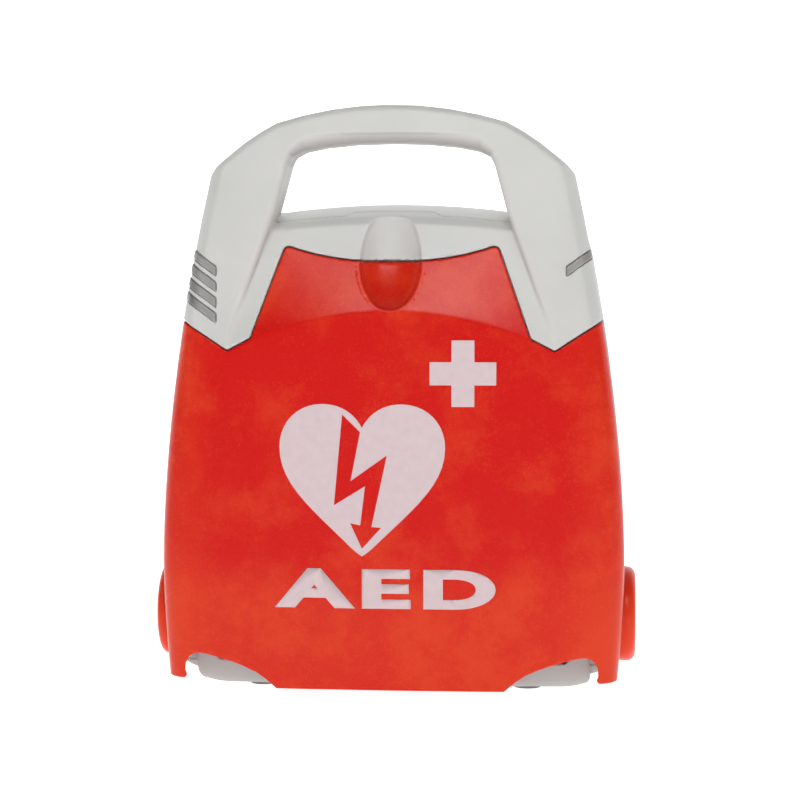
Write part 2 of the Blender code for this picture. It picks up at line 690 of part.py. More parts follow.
def front_housing():
    made = body_solid("front_housing", "grey_shell")
    cut(made, SHARED["rear_half"], deck_prism("deck_recess", 0.0, -0.080, DECK_Y))
    cavity = box("front_cavity", (-0.15, -0.0455, 0.0), (0.15, -0.02, 0.260))
    keep_inside(cavity, SHARED["hollow"])
    cut(cavity, deck_prism("deck_floor_keep", WALL, -0.080, -0.0275))
    cut(made, cavity, SHARED["horseshoe_hollow"])
    cut(made, scoop("neck_scoop", SCOOP_UP, 0.0), scoop("lid_cup_room", SCOOP_DOWN, LID_WALL + 0.0006))
    for index, ((x, z), start) in enumerate(zip(CASE_SCREWS, BOSS_FRONT_Y)):
        boss = rod(f"front_boss_{index}", (x, (PILLAR_FRONT_Y + start) / 2, z), "Y", 0.0040,
                   PILLAR_FRONT_Y - start, sides=12)
        join(made, boss)
        cut(made, rod(f"front_boss_bore_{index}", (x, -0.020, z), "Y", SCREW_R + GAP, 0.022, sides=8))
    for index, (x, z, start) in enumerate(POSTS):
        end = BOARD_Y - GAP
        join(made, rod(f"post_{index}", (x, (start + end) / 2, z), "Y", POST_R, end - start, sides=12))
        cut(made, rod(f"post_bore_{index}", (x, BOARD_Y - 0.0035, z), "Y", SCREW_R + GAP, 0.013, sides=8))
    cut(made, rod("shock_hole", (PANEL_X, DECK_Y, SHOCK_Z), "Y", SHOCK_R + 0.003, 0.02))
    cut(made, rod("power_hole", (PANEL_X, DECK_Y, POWER_Z), "Y", POWER_R + 0.003, 0.02, sides=24))
    cut(made, box("socket_hole", (PANEL_X - 0.017, -0.04, SOCKET_Z - 0.010), (PANEL_X + 0.017, -0.02,
                                                                           SOCKET_Z + 0.010)))
    cut(made, box("lens_hole", (PANEL_X - 0.017, -0.04, LENS_Z - 0.0035), (PANEL_X + 0.017, -0.02,
                                                                         LENS_Z + 0.0035)))
    for k in range(-3, 4):
        half = math.sqrt(SPEAKER_R ** 2 - (k * 0.0062) ** 2) - 0.003
        z = SPEAKER_Z + k * 0.0062
        cut(made, box(f"speaker_slot_{k + 4}", (SPEAKER_X - half, -0.04, z - 0.0013),
                      (SPEAKER_X + half, -0.02, z + 0.0013)))
    for x, z in STUD_PLACES:
        cut(made, rod("stud_hole", (x, -0.0335, z - 0.0004), "Y", 0.0042, 0.011, sides=16))
    cut(made, plate("grille_pocket", [grown(BACKING, GAP)], FRONT_VIEW, BACKING_Y[0] - GAP, -0.020))
    for index in range(SLOT_COUNT):
        left = [(-x, z) for x, z in slot_outline(index)]
        cut(made, plate(f"shoulder_slot_{index + 1}", [left], FRONT_VIEW, -0.060, PARTING_Y - 0.0015))
    cut(made, plate("light_slot", [slot_outline(0)], FRONT_VIEW, -0.060, PARTING_Y - 0.0015))
    return made


def rear_housing():
    made = body_solid("rear_housing", "grey_shell")
    cut(made, SHARED["front_half"], SHARED["hollow"], SHARED["horseshoe_hollow"])
    well = well_box("bay_walls", BAY_WALL, BAY_FRONT_Y - BAY_WALL, 0.048)
    cut(well, well_box("bay_space", 0.0, BAY_FRONT_Y, 0.060))
    join(made, well)
    cut(made, well_box("bay_mouth", 0.0, BAY_FRONT_Y, 0.060))
    window = box("contact_window", (-0.016, BAY_FRONT_Y - 0.006, 0.060), (0.016, BAY_FRONT_Y + 0.002, 0.074))
    cut(made, window)
    latch_x, latch_y, latch_z = LATCH_SIZE
    low = BAY_HIGH + 0.0006
    cut(made, box("latch_window", (-latch_x / 2 - 0.0004, 0.043, low), (latch_x / 2 + 0.0004, 0.060,
                                                                      low + latch_z + 0.0044)))
    for side in (-1, 1):
        cut(made, rod("hub_space", (side * 0.10425, HINGE_Y, HINGE_Z), "X", EAR_R - 0.003, 0.0135, sides=32))
        join(made, rod("bearing_boss", (side * 0.1065, HINGE_Y, HINGE_Z), "X", 0.0095, 0.0135, sides=24))
        place = (side * 0.108, HINGE_Y, HINGE_Z)
        cut(made, rod("pin_bore", place, "X", PIN_R + PIN_CLEARANCE, 0.05, sides=24))
    for index, (x, z) in enumerate(CASE_SCREWS):
        back = 0.0485
        pillar = rod(f"pillar_{index}", (x, (PILLAR_FRONT_Y + GAP + back) / 2, z), "Y", PILLAR_R,
                     back - PILLAR_FRONT_Y - GAP, sides=12)
        keep_inside(pillar, SHARED["pillar_limit"])
        join(made, pillar)
        cut(made, rod(f"screw_way_{index}", (x, 0.0, z), "Y", SCREW_R + GAP, 0.05, sides=8))
        cut(made, rod(f"screw_well_{index}", (x, SCREW_SEAT_Y + 0.05, z), "Y", SCREW_HEAD_R + 0.0005, 0.1,
                      sides=12))
    for index, (x, z) in enumerate(POWER_POSTS):
        start, end = POWER_BOARD_Y + BOARD_THICK + GAP, BAY_FRONT_Y - BAY_WALL + 0.0005
        join(made, rod(f"power_post_{index}", (x, (start + end) / 2, z), "Y", POST_R, end - start, sides=12))
        cut(made, rod(f"power_post_bore_{index}", (x, start + 0.0020, z), "Y", SCREW_R + GAP, 0.006, sides=8))
    for x, y in FEET:
        cut(made, rod("foot_pocket", (x, y, BASE_Z), "Z", FOOT_R + GAP, 2 * FOOT_SUNK, sides=16))
    return made


# Lid


def lid_cover():
    made = lid_shell()
    cup = scoop("scoop_cup", SCOOP_DOWN, LID_WALL)
    keep_inside(cup, SHARED["cup_limit"])
    join(made, cup)
    cut(made, scoop("scoop_cut", SCOOP_DOWN, 0.0))
    for side in (-1, 1):
        boss = turned("hinge_boss", [(0.0, BOSS_OUT - BOSS_CHAMFER * 0.3), (BOSS_R * 0.6, BOSS_OUT),
                                     (BOSS_R - BOSS_CHAMFER, BOSS_OUT), (BOSS_R, BOSS_OUT - BOSS_CHAMFER),
                                     (BOSS_R, BOSS_IN), (0.0, BOSS_IN)],
                      (0, HINGE_Y, HINGE_Z), "X", steps=32)
        if side < 0:
            boss.matrix_world = Matrix.Rotation(math.pi, 4, "Z") @ boss.matrix_world
        join(made, boss)
        place = (side * 0.1195, HINGE_Y, HINGE_Z)
        cut(made, rod("boss_bore", place, "X", PIN_R + PIN_CLEARANCE, 0.010, sides=24))
    return made


def hinge_pin(name, side):
    made = turned(name, [(0.0, 0.1240), (PIN_R - 0.0006, 0.1240), (PIN_R, 0.1234), (PIN_R, HUB_INNER_X - GAP),
                         (PIN_HEAD_R, HUB_INNER_X - GAP), (PIN_HEAD_R, HUB_INNER_X - 0.0023),
                         (0.0, HUB_INNER_X - 0.0023)],
                  (0, HINGE_Y, HINGE_Z), "X", "steel", steps=24)
    if side < 0:
        made.matrix_world = Matrix.Rotation(math.pi, 4, "Z") @ made.matrix_world
    return made


def snap_stud(name, x, z):
    """A bulb-headed peg behind the lid's upper edge, which snaps into a hole in the neck."""
    y = body_face(x, z) + LID_WALL + GAP + 0.0005
    profile = [(0.0, 0.0062), (0.0014, 0.0060), (0.0026, 0.0046), (0.0028, 0.0036), (0.0022, 0.0022),
               (0.0022, 0.0), (0.0, 0.0)]
    return turned(name, profile, (x, y, z), "Y", "steel", steps=16)


# Deck


def control_panel():
    width, height = PANEL_SIZE
    front = DECK_Y - GAP - PANEL_THICK
    outline = rounded_rectangle(PANEL_X, PANEL_Z, width, height, 0.006)
    made = plate("control_panel", [outline], FRONT_VIEW, front, DECK_Y - GAP, "panel")
    cut(made, rod("panel_shock_hole", (PANEL_X, DECK_Y, SHOCK_Z), "Y", SHOCK_R + 0.0005, 0.02))
    cut(made, rod("panel_power_hole", (PANEL_X, DECK_Y, POWER_Z), "Y", POWER_R + 0.0005, 0.02, sides=24))
    cut(made, box("panel_socket_hole", (PANEL_X - 0.0155, -0.05, SOCKET_Z - 0.0085),
                  (PANEL_X + 0.0155, -0.02, SOCKET_Z + 0.0085)))
    cut(made, box("panel_lens_hole", (PANEL_X - 0.0153, -0.05, LENS_Z - 0.0028),
                  (PANEL_X + 0.0153, -0.02, LENS_Z + 0.0028)))
    return made


def button(name, z, radius, look):
    """A domed cap with a hidden flange behind the panel and a skirt that the spring sits in."""
    flange = radius + BUTTON_FLANGE
    flange_y = DECK_Y + 0.0002
    profile = [(0.0, -0.0265), (flange - 0.003, -0.0265), (flange - 0.003, flange_y + 0.0014),
               (flange, flange_y + 0.0014), (flange, flange_y), (radius, flange_y),
               (radius, BUTTON_FRONT_Y + 0.0012), (radius - 0.0012, BUTTON_FRONT_Y + 0.0002),
               (radius * 0.5, BUTTON_FRONT_Y + 0.0006), (0.0, BUTTON_FRONT_Y + 0.0008)]
    return turned(name, profile, (PANEL_X, 0, z), "Y", look, steps=28)


def spring(name, z, radius, turns=3, wire=0.0004, per_turn=10):
    """A compression spring between a button's back and the button board."""
    start, end = -0.0265 + GAP + wire, BOARD_Y - GAP - wire
    curve = bpy.data.curves.new(name, "CURVE")
    curve.dimensions = "3D"
    curve.bevel_depth = wire
    curve.bevel_resolution = 1
    curve.use_fill_caps = True
    spline = curve.splines.new("POLY")
    count = turns * per_turn
    spline.points.add(count)
    for k, point in enumerate(spline.points):
        angle = 2 * math.pi * turns * k / count
        point.co = (PANEL_X + radius * math.cos(angle), start + (end - start) * k / count,
                    z + radius * math.sin(angle), 1.0)
    made = bpy.data.objects.new(name, curve)
    PARTS.objects.link(made)
    curve.materials.append(material("steel"))
    return made


def electrode_socket():
    low, high = (PANEL_X - 0.0150, -0.0405, SOCKET_Z - 0.0080), (PANEL_X + 0.0150, -0.0215, SOCKET_Z + 0.0080)
    made = box("electrode_socket", low, high, "orange")
    cut(made, plate("socket_mouth", [rounded_rectangle(PANEL_X, SOCKET_Z, 0.024, 0.0105, 0.003)], FRONT_VIEW,
                    -0.050, -0.0270))
    for dx in (-0.006, 0.006):
        join(made, rod("socket_contact", (PANEL_X + dx, -0.0300, SOCKET_Z), "Y", 0.0013, 0.012, sides=12))
    return made


def status_lens():
    made = box("status_lens", (PANEL_X - 0.0150, -0.0340, LENS_Z - 0.0025), (PANEL_X + 0.0150, -0.0240,
                                                                         LENS_Z + 0.0025), "clear")
    round_edges(made, 0.0005)
    return made


def speaker():
    profile = [(0.0, 0.0120), (0.0100, 0.0120), (0.0100, 0.0060), (0.0150, 0.0050),
               (SPEAKER_R - 0.001, 0.0018), (SPEAKER_R, 0.0012), (SPEAKER_R, 0.0), (SPEAKER_R - 0.002, 0.0),
               (0.008, 0.0030), (0.0, 0.0022)]
    place = (SPEAKER_X, PARTING_Y + GAP + 0.0005, SPEAKER_Z)
    return turned("speaker", profile, place, "Y", "black", steps=24)


def electrode_pouch():
    """The sealed pouch of electrode pads, plumped in the middle."""
    made = box("electrode_pouch", (-0.094, -0.0425, 0.030), (0.036, DECK_Y - 0.0008, 0.120), "foil")
    round_edges(made, 0.004, 2)
    return made


def pouch_strap():
    made = box("pouch_strap", (-0.036, -0.0443, 0.0265), (-0.022, -0.0431, 0.1235), "dark_grey")
    return made


def grille_insert():
    """One backing plate behind the shoulder's slots, with a rib standing into each."""
    ribs = []
    for index in range(SLOT_COUNT):
        loop = [(-x, z) for x, z in slot_outline(index)]
        ribs.append(plate(f"grille_rib_{index + 1}", [grown(loop, -GAP)], FRONT_VIEW, -0.0452,
                          PARTING_Y - 0.0018))
    backing = plate("speaker_grille_insert", [BACKING], FRONT_VIEW, *BACKING_Y, "dark_grey")
    for rib in ribs:
        keep_inside(rib, SHARED["insert_limit"])
        join(backing, rib)
    return backing


def light_pipe():
    made = plate("status_light_pipe", [grown(slot_outline(0), -GAP)], FRONT_VIEW, -0.0452, PARTING_Y - 0.0018,
                 "dark_grey")
    keep_inside(made, SHARED["insert_limit"])
    return made


# Electronics and power


def board(name, x_range, y, z_range, holes):
    """A circuit board on edge, with its screw holes."""
    made = box(name, (x_range[0], y, z_range[0]), (x_range[1], y + BOARD_THICK, z_range[1]), "board")
    for x, z in holes:
        cut(made, rod("board_hole", (x, y, z), "Y", SCREW_R + GAP, 0.02, sides=12))
    return made


def main_board():
    made = board("main_board", (-0.078, 0.078), BOARD_Y, (0.1130, 0.2020), [post[:2] for post in POSTS[:4]])
    cut(made, rod("speaker_cutout", (SPEAKER_X, BOARD_Y, SPEAKER_Z), "Y", SPEAKER_R + 0.0015, 0.02, sides=24))
    for index, (x, z, width, height, thick) in enumerate(CHIPS):
        y = BOARD_Y + BOARD_THICK
        join(made, box(f"chip_{index}", (x - width / 2, y - GAP, z - height / 2),
                       (x + width / 2, y + thick, z + height / 2)))
    return made


def energy_capacitor():
    return turned("energy_capacitor", [(0.0, 0.040), (0.017, 0.040), (0.018, 0.039), (0.018, -0.038),
                                       (0.0165, -0.0395), (0.0, -0.0395)], (-0.012, 0.0225, 0.1480), "X",
                  "blue_sleeve", steps=32)


def capacitor_clamp():
    """A strap that arches over the capacitor, with a foot above it and one below."""
    cy, cz, inner, outer = 0.0225, 0.1480, 0.0184, 0.0198
    loop = []
    for radius, sweep in ((outer, range(0, 13)), (inner, range(12, -1, -1))):
        for k in sweep:
            angle = math.radians(90 + 180 * k / 12)
            loop.append((cy + radius * math.cos(angle), cz + radius * math.sin(angle)))
    made = plate("capacitor_clamp", [loop], SIDE_VIEW, -0.020, -0.008, "steel")
    return made


def transformer():
    profile = [(0.0, 0.012), (0.0155, 0.012), (0.0155, 0.010), (0.013, 0.009), (0.013, -0.009),
               (0.0155, -0.010), (0.0155, -0.012), (0.0, -0.012)]
    made = turned("transformer", profile, (0.052, 0.0225, 0.1480), "Z", "copper", steps=24)
    return made


def battery_pack():
    made = box("battery_pack", (-BAY_HALF + 0.0006, BAY_FRONT_Y + 0.0015, BAY_LOW + 0.0006),
               (BAY_HALF - 0.0006, BACK_Y - 0.0002, BAY_HIGH - 0.0006), "dark_grey")
    round_edges(made, 0.0012)
    cut(made, rod("finger_recess", (0, BACK_Y + 0.004, BAY_HIGH - 0.016), "X", 0.009, 0.044, sides=24))
    return made


def battery_contacts():
    made = box("battery_contacts", (-0.015, BAY_FRONT_Y - 0.0060, 0.0610),
               (0.015, BAY_FRONT_Y - 0.0003, 0.0730), "black")
    for dx in (-0.010, 0.0, 0.010):
        join(made, box("contact_blade", (dx - 0.002, BAY_FRONT_Y - 0.001, 0.0645),
                       (dx + 0.002, BAY_FRONT_Y + 0.0010, 0.0695)))
    return made


def battery_latch():
    width, depth, height = LATCH_SIZE
    low = BAY_HIGH + 0.0010
    made = box("battery_latch", (-width / 2, 0.0447, low), (width / 2, BACK_Y - 0.0004, low + height),
               "grey_shell")
    round_edges(made, 0.0006)
    for k in range(3):
        z = low + 0.003 + k * 0.003
        cut(made, box(f"latch_groove_{k}", (-width / 2 + 0.003, BACK_Y - 0.0012, z - 0.0005),
                      (width / 2 - 0.003, BACK_Y + 0.001, z + 0.0005)))
    return made


def screw(name, x, z, seat, length, backwards=False):
    """A pan-head screw along Y, its head's underside at seat and its point to the front, or to the back."""
    profile = [(0.0, 0.0018), (SCREW_HEAD_R * 0.7, 0.0018), (SCREW_HEAD_R, 0.0009), (SCREW_HEAD_R, GAP),
               (SCREW_R, GAP), (SCREW_R, -length + 0.001), (0.0, -length)]
    made = turned(name, profile, (x, seat, z), "Y", "steel", steps=10)
    if backwards:
        made.matrix_world = made.matrix_world @ Matrix.Rotation(math.pi, 4, "X")
    return made


def build():
    SHARED["pillar_limit"] = box("pillar_limit", (-0.2, -0.03, 0.0), (0.2, 0.0485, 0.3))
    cup_side = [(-0.0445, 0.190), (-0.010, 0.190), (-0.010, LID_TOP_MID), (-0.0420, LID_TOP_MID),
                (-0.0495, 0.2000)]
    SHARED["cup_limit"] = plate("cup_limit", [cup_side], SIDE_VIEW, -0.03, 0.03)
    SHARED["insert_limit"] = skin_loft("insert_limit", shoulder_face, 0.150, 0.262, inset=-0.0004)
    make_shared()
    front_housing()
    rear_housing()
    lid_cover()
    for side, word in ((-1, "left"), (1, "right")):
        hinge_pin(f"hinge_pin_{word}", side)
    for (x, z), word in zip(STUD_PLACES, ("left", "right")):
        snap_stud(f"lid_snap_stud_{word}", x, z)
    rod("lid_magnet", (-0.070, -0.0440, 0.150), "Y", 0.003, 0.0020, "steel", sides=16)
    control_panel()
    button("shock_button", SHOCK_Z, SHOCK_R, "orange")
    button("on_off_button", POWER_Z, POWER_R, "green")
    spring("shock_button_spring", SHOCK_Z, 0.0080)
    spring("on_off_button_spring", POWER_Z, 0.0055)
    electrode_socket()
    status_lens()
    speaker()
    electrode_pouch()
    pouch_strap()
    grille_insert()
    light_pipe()
    board("button_board", (0.046, 0.092), BOARD_Y, (0.0300, 0.1120), [post[:2] for post in POSTS[4:]])
    main_board()
    board("high_voltage_board", (-0.072, 0.042), POWER_BOARD_Y, (0.0100, 0.1100), POWER_POSTS)
    box("reed_sensor", (-0.074, -0.0215, 0.1480), (-0.066, BOARD_Y - GAP, 0.1520), "black")
    box("relay", (0.008, BOARD_Y + BOARD_THICK + GAP, 0.1150), (0.030, 0.0, 0.1300), "black")
    energy_capacitor()
    capacitor_clamp()
    transformer()
    battery_pack()
    battery_contacts()
    battery_latch()
    for index, (x, z) in enumerate(CASE_SCREWS):
        screw(f"case_screw_{index + 1}", x, z, SCREW_SEAT_Y, 0.020)
    for index, (x, z, _) in enumerate(POSTS):
        screw(f"board_screw_{index + 1}", x, z, BOARD_Y + BOARD_THICK, 0.0075)
    for index, (x, z) in enumerate(POWER_POSTS):
        screw(f"board_screw_{len(POSTS) + index + 1}", x, z, POWER_BOARD_Y, 0.0045, backwards=True)
    for index, (x, y) in enumerate(FEET):
        rod(f"foot_{index + 1}", (x, y, FOOT_HEIGHT / 2), "Z", FOOT_R, FOOT_HEIGHT, "rubber", sides=16)


clear_scene()
PARTS = new_collection("defibrillator")
CUTTERS = new_collection("cutters")
CUTTERS.hide_render = True
SHARED = {}
build()
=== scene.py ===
import math

import bmesh
import bpy
import numpy as np
from mathutils import Matrix, Vector


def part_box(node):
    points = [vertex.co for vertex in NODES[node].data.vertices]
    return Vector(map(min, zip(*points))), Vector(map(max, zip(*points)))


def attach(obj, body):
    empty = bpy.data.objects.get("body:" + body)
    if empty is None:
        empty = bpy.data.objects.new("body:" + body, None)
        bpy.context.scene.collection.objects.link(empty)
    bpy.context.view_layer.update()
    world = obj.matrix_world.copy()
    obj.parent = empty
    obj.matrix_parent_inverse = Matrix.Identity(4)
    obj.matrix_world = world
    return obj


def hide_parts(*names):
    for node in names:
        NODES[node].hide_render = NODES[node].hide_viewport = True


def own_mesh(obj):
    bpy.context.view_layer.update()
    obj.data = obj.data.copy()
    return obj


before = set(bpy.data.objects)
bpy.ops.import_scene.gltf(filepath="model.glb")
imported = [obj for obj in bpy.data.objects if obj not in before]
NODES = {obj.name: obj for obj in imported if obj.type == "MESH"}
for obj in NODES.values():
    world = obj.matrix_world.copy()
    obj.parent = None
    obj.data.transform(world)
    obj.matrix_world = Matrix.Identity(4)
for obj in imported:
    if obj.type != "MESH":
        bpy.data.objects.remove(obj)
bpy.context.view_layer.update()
SCENE = bpy.context.scene

# Driving dimensions of the case, in metres
FRONT_Y, BACK_Y, PARTING_Y = -0.050, 0.050, -0.028
WIDEST, WIDEST_Z, SIDE_FALL, FALL_REACH, FALL_POWER = 0.1208, 0.068, 0.0243, 0.192, 1.713
FACE_BOW, BOW_REACH = 0.004, 0.105
CORNER_R, BACK_CORNER_R = 0.012, 0.016
CROWN_Z, CROWN_FALL, CROWN_REACH, BASE_Z = 0.254, 0.004, 0.060, 0.0008
WALL, LID_WALL, LID_GAP, LID_EDGE_GAP = 0.0028, 0.0025, 0.0013, 0.0005
KNEE_Z, KNEE_DROP, KNEE_REACH, NECK_Z, NECK_Y = 0.1985, 0.0145, 0.072, 0.246, -0.034
LEAN_FADE = (0.076, 0.086)
GRIP_Z, GRIP_FALL, GRIP_REACH = 0.304, 0.009, 0.059
SHOULDER_LEAN, SHOULDER_Z, HANDLE_DEPTH, HANDLE_ROUND = 0.0535, 0.178, 0.030, 0.004
SHOULDER_CORNER = ((0.0943, 0.2683), (0.0905, 0.2728), (0.0860, 0.2767), (0.0759, 0.2847), (0.0675, 0.2903))
OPENING = ((0.0, 0.2845), (0.018, 0.2840), (0.034, 0.2825), (0.045, 0.2803), (0.0508, 0.2775),
           (0.0532, 0.2730), (0.0602, 0.2475))
CREASE = ((0.0610, 0.2455), (0.0800, 0.1920), (0.0843, 0.1765))
LID_TOP_MID, LID_TOP_RISE, LID_TOP_POWER, LID_CORNER_X = 0.2235, 0.0085, 2.4, 0.0548
LID_TOP_OUTER = ((LID_CORNER_X, LID_TOP_MID + LID_TOP_RISE), (0.0720, 0.1840), (0.0843, 0.1776),
                 (0.1090, 0.1935))
LID_BOTTOM = ((0.0590, 0.0027), (0.0650, 0.0078), (0.0699, 0.0110), (0.0760, 0.0138), (0.0820, 0.0160),
              (0.0900, 0.0183), (0.0960, 0.0198), (0.1000, 0.0204), (0.1030, 0.0198), (0.1055, 0.0180),
              (0.1070, 0.0150), (0.1073, 0.0110), (0.1064, 0.0086), (0.1076, 0.0070))
LID_REAR_TOP, LID_HEEL = (-0.030, 0.194), (-0.034, 0.007)
HINGE_Z, EAR_R = 0.037, 0.032
BOSS_R, BOSS_OUT, BOSS_IN, HUB_FACE_X, BASE_END_X, BASE_END_Z = 0.025, 0.1267, 0.1158, 0.1140, 0.103, 0.030
SCOOP_HALF, SCOOP_DOWN, SCOOP_UP, SCOOP_DEPTH = 0.0155, 0.0256, 0.0292, 0.0080
SCOOP_TILT, SCOOP_Y = math.radians(18.6), -0.0415
DECK_Y = -0.031
DECK = ((0.090, 0.016), (0.101, 0.027), (0.101, 0.158), (0.095, 0.166), (0.078, 0.168), (0.066, 0.176),
        (0.050, 0.214), (0.0, 0.2085))
PANEL_X, PANEL_Z = 0.070, 0.092
SHOCK_Z, SHOCK_R, POWER_Z, POWER_R, SOCKET_Z, LENS_Z = 0.078, 0.0165, 0.120, 0.0115, 0.038, 0.148
SPEAKER_X, SPEAKER_Z, SPEAKER_R, SPEAKER_PITCH = -0.040, 0.158, 0.023, 0.0062
SLOT_INNER_X, SLOT_Z, SLOT_HEIGHT, SLOT_PITCH, SLOT_RISE = 0.090, 0.216, 0.0051, 0.00805, 0.72
BAY_HALF, BAY_LOW, BAY_HIGH, BAY_FRONT_Y = 0.0615, 0.028, 0.107, 0.010
CASE_SCREWS = ((-0.084, 0.205), (0.084, 0.205), (-0.098, 0.120), (0.098, 0.120), (-0.080, 0.022),
               (0.080, 0.022))
POST_R, SCREW_HOLE_R, SCREW_HEAD_R = 0.0048, 0.0018, 0.0034
STUD_PLACES = ((-0.038, 0.2195), (0.038, 0.2195))
FEET = ((-0.070, -0.016), (0.070, -0.016), (-0.070, 0.024), (0.070, 0.024))
BORE_R, BORE_END_X, EAR_GAP, FLANGE_GAP, SEAM_HALF = 0.0053, 0.1245, 0.0016, 0.0014, 0.00025
SKIN, INK_THICK, INK_PROUD = 0.0003, 0.00012, 0.00008


# Signed fields: below zero inside


def both(a, b, r=0.0):
    """What two fields share, with the edge between them rounded."""
    return np.minimum(np.maximum(a, b), -r) + np.hypot(np.maximum(a + r, 0.0), np.maximum(b + r, 0.0))


def either(a, b, r=0.0):
    return -both(-a, -b, r)


def along(points, x):
    return np.interp(x, [p[0] for p in points], [p[1] for p in points])


def outline_field(loop, low, high, step=0.0005):
    """Signed distance to a closed outline, as a table that is read between its points."""
    us, vs = (np.arange(a, b + step, step) for a, b in zip(low, high))
    u, v = np.meshgrid(us, vs, indexing="ij")
    away = np.full(u.shape, 9.0)
    odd = np.zeros(u.shape, bool)
    for (au, av), (bu, bv) in zip(loop, loop[1:] + loop[:1]):
        du, dv = bu - au, bv - av
        t = np.clip(((u - au) * du + (v - av) * dv) / (du * du + dv * dv), 0.0, 1.0)
        away = np.minimum(away, np.hypot(u - au - t * du, v - av - t * dv))
        if dv:
            odd ^= ((av > v) != (bv > v)) & (u < au + (v - av) * du / dv)
    table = np.where(odd, -away, away)

    def read(p, q):
        p, q = np.broadcast_arrays(p, q)
        i = np.clip((p - low[0]) / step, 0.0, len(us) - 1.001)
        k = np.clip((q - low[1]) / step, 0.0, len(vs) - 1.001)
        i0, k0 = i.astype(int), k.astype(int)
        s, t = i - i0, k - k0
        near = table[i0, k0] * (1 - s) + table[i0 + 1, k0] * s
        far = table[i0, k0 + 1] * (1 - s) + table[i0 + 1, k0 + 1] * s
        return near * (1 - t) + far * t
    return read


def half_width(z):
    return WIDEST - SIDE_FALL * (np.abs(z - WIDEST_Z) / FALL_REACH) ** FALL_POWER


def bow(x):
    return FACE_BOW * (x / BOW_REACH) ** 2


def knee(x):
    return KNEE_Z - KNEE_DROP * (np.minimum(np.abs(x), CREASE[-1][0]) / KNEE_REACH) ** 2


def body_face(x, z, soft=0.0016):
    """Front of the body: bowed below the knee, leaning back above it."""
    front = FRONT_Y + bow(x)
    past = z - knee(x)
    lean = 0.5 * (past + np.sqrt(past ** 2 + soft ** 2)) / (NECK_Z - knee(x))
    return front + lean * (NECK_Y - front)


def lid_face(x, z):
    fade = np.clip((np.abs(x) - LEAN_FADE[0]) / (LEAN_FADE[1] - LEAN_FADE[0]), 0.0, 1.0)
    fade = fade * fade * (3 - 2 * fade)
    return body_face(x, z, 0.0009) * (1 - fade) + (FRONT_Y + bow(x)) * fade


def shift(x, z):
    return bow(x) + SHOULDER_LEAN * np.maximum(0.0, z - SHOULDER_Z)


def section(x, y, z, face):
    return both(face - y, np.abs(x) - half_width(z), CORNER_R)


def lid_core(x, y, z):
    """The case behind the lid. Below the hinge it is round about it, so the lid swings past."""
    inset = LID_WALL + LID_GAP
    drop = np.maximum(HINGE_Z - z, 0.0)
    at_hinge = lid_face(x, HINGE_Z + 0.0 * z)
    swept = -np.sqrt(np.maximum((-at_hinge - inset) ** 2 - drop ** 2, 1e-8)) - inset
    return section(x, y, z, np.where(drop > 0.0, swept, lid_face(x, z))) + inset


def roll(distance, reach, fall):
    t = np.clip(distance / reach, 0.0, 0.999)
    return fall * (1 - np.sqrt(1 - t * t))


def crown(x, y):
    ax = np.abs(x)
    height = CROWN_Z - CROWN_FALL * (np.minimum(ax, CROWN_REACH) / CROWN_REACH) ** 2
    height = height - roll(ax - CROWN_REACH, 0.048, 0.027)
    height = height - 0.032 * (np.maximum(0.0, y - 0.010) / 0.040) ** 2.2
    return height - 0.008 * (np.maximum(0.0, 0.010 - np.maximum(y, NECK_Y)) / 0.044) ** 2


def underside(x, y):
    ends = roll(np.abs(x) - 0.088, 0.030, 0.026)
    back, front = roll(y - 0.034, 0.0165, 0.016), roll(-0.038 - y, 0.009, 0.008)
    return BASE_Z + np.maximum(np.maximum(ends, back), front)


def egg(x, y, z, up, extra):
    """The finger scoop: half an egg sunk in the leaning face."""
    c, s = math.cos(SCOOP_TILT), math.sin(SCOOP_TILT)
    dy, dz = y - SCOOP_Y, z - LID_TOP_MID
    v, w = dy * c - dz * s, dy * s + dz * c
    sizes = (SCOOP_HALF + extra, SCOOP_DEPTH + extra, up + extra)
    k0 = np.sqrt((x / sizes[0]) ** 2 + (v / sizes[1]) ** 2 + (w / sizes[2]) ** 2)
    k1 = np.sqrt((x / sizes[0] ** 2) ** 2 + (v / sizes[1] ** 2) ** 2 + (w / sizes[2] ** 2) ** 2)
    return k0 * (k0 - 1.0) / np.maximum(k1, 1e-6)


def grown(loop, by):
    """A loop moved outwards by a distance, with its corners kept sharp."""
    area = sum(ax * bz - bx * az for (ax, az), (bx, bz) in zip(loop, loop[1:] + loop[:1]))
    side = by if area > 0 else -by
    moved = []
    for before, here, after in zip(loop[-1:] + loop[:-1], loop, loop[1:] + loop[:1]):
        entry = (Vector(here) - Vector(before)).normalized()
        leave = (Vector(after) - Vector(here)).normalized()
        out = Vector((entry.y + leave.y, -entry.x - leave.x)).normalized()
        reach = side / max(0.35, out.dot(Vector((entry.y, -entry.x))))
        moved.append((here[0] + out.x * reach, here[1] + out.y * reach))
    return moved


def mirrored(half):
    return list(half) + [(-x, up) for x, up in reversed(half) if x > 0]


def horseshoe_outline(foot):
    outer = [(float(half_width(z)) - 0.0004, z) for z in (foot, 0.190, 0.210, 0.230, 0.246, 0.258)]
    outer += list(SHOULDER_CORNER)
    outer += [(x, GRIP_Z - GRIP_FALL * (x / GRIP_REACH) ** 2) for x in (0.059, 0.045, 0.030, 0.015)]
    inner = [(0.0862, foot)] + list(reversed(CREASE)) + list(reversed(OPENING))
    left_outer = [(-x, z) for x, z in reversed(outer)]
    left_inner = [(-x, z) for x, z in reversed(inner[:-1])]
    return outer + [(0.0, GRIP_Z)] + left_outer + left_inner[::-1] + [inner[-1]] + inner[:-1][::-1]


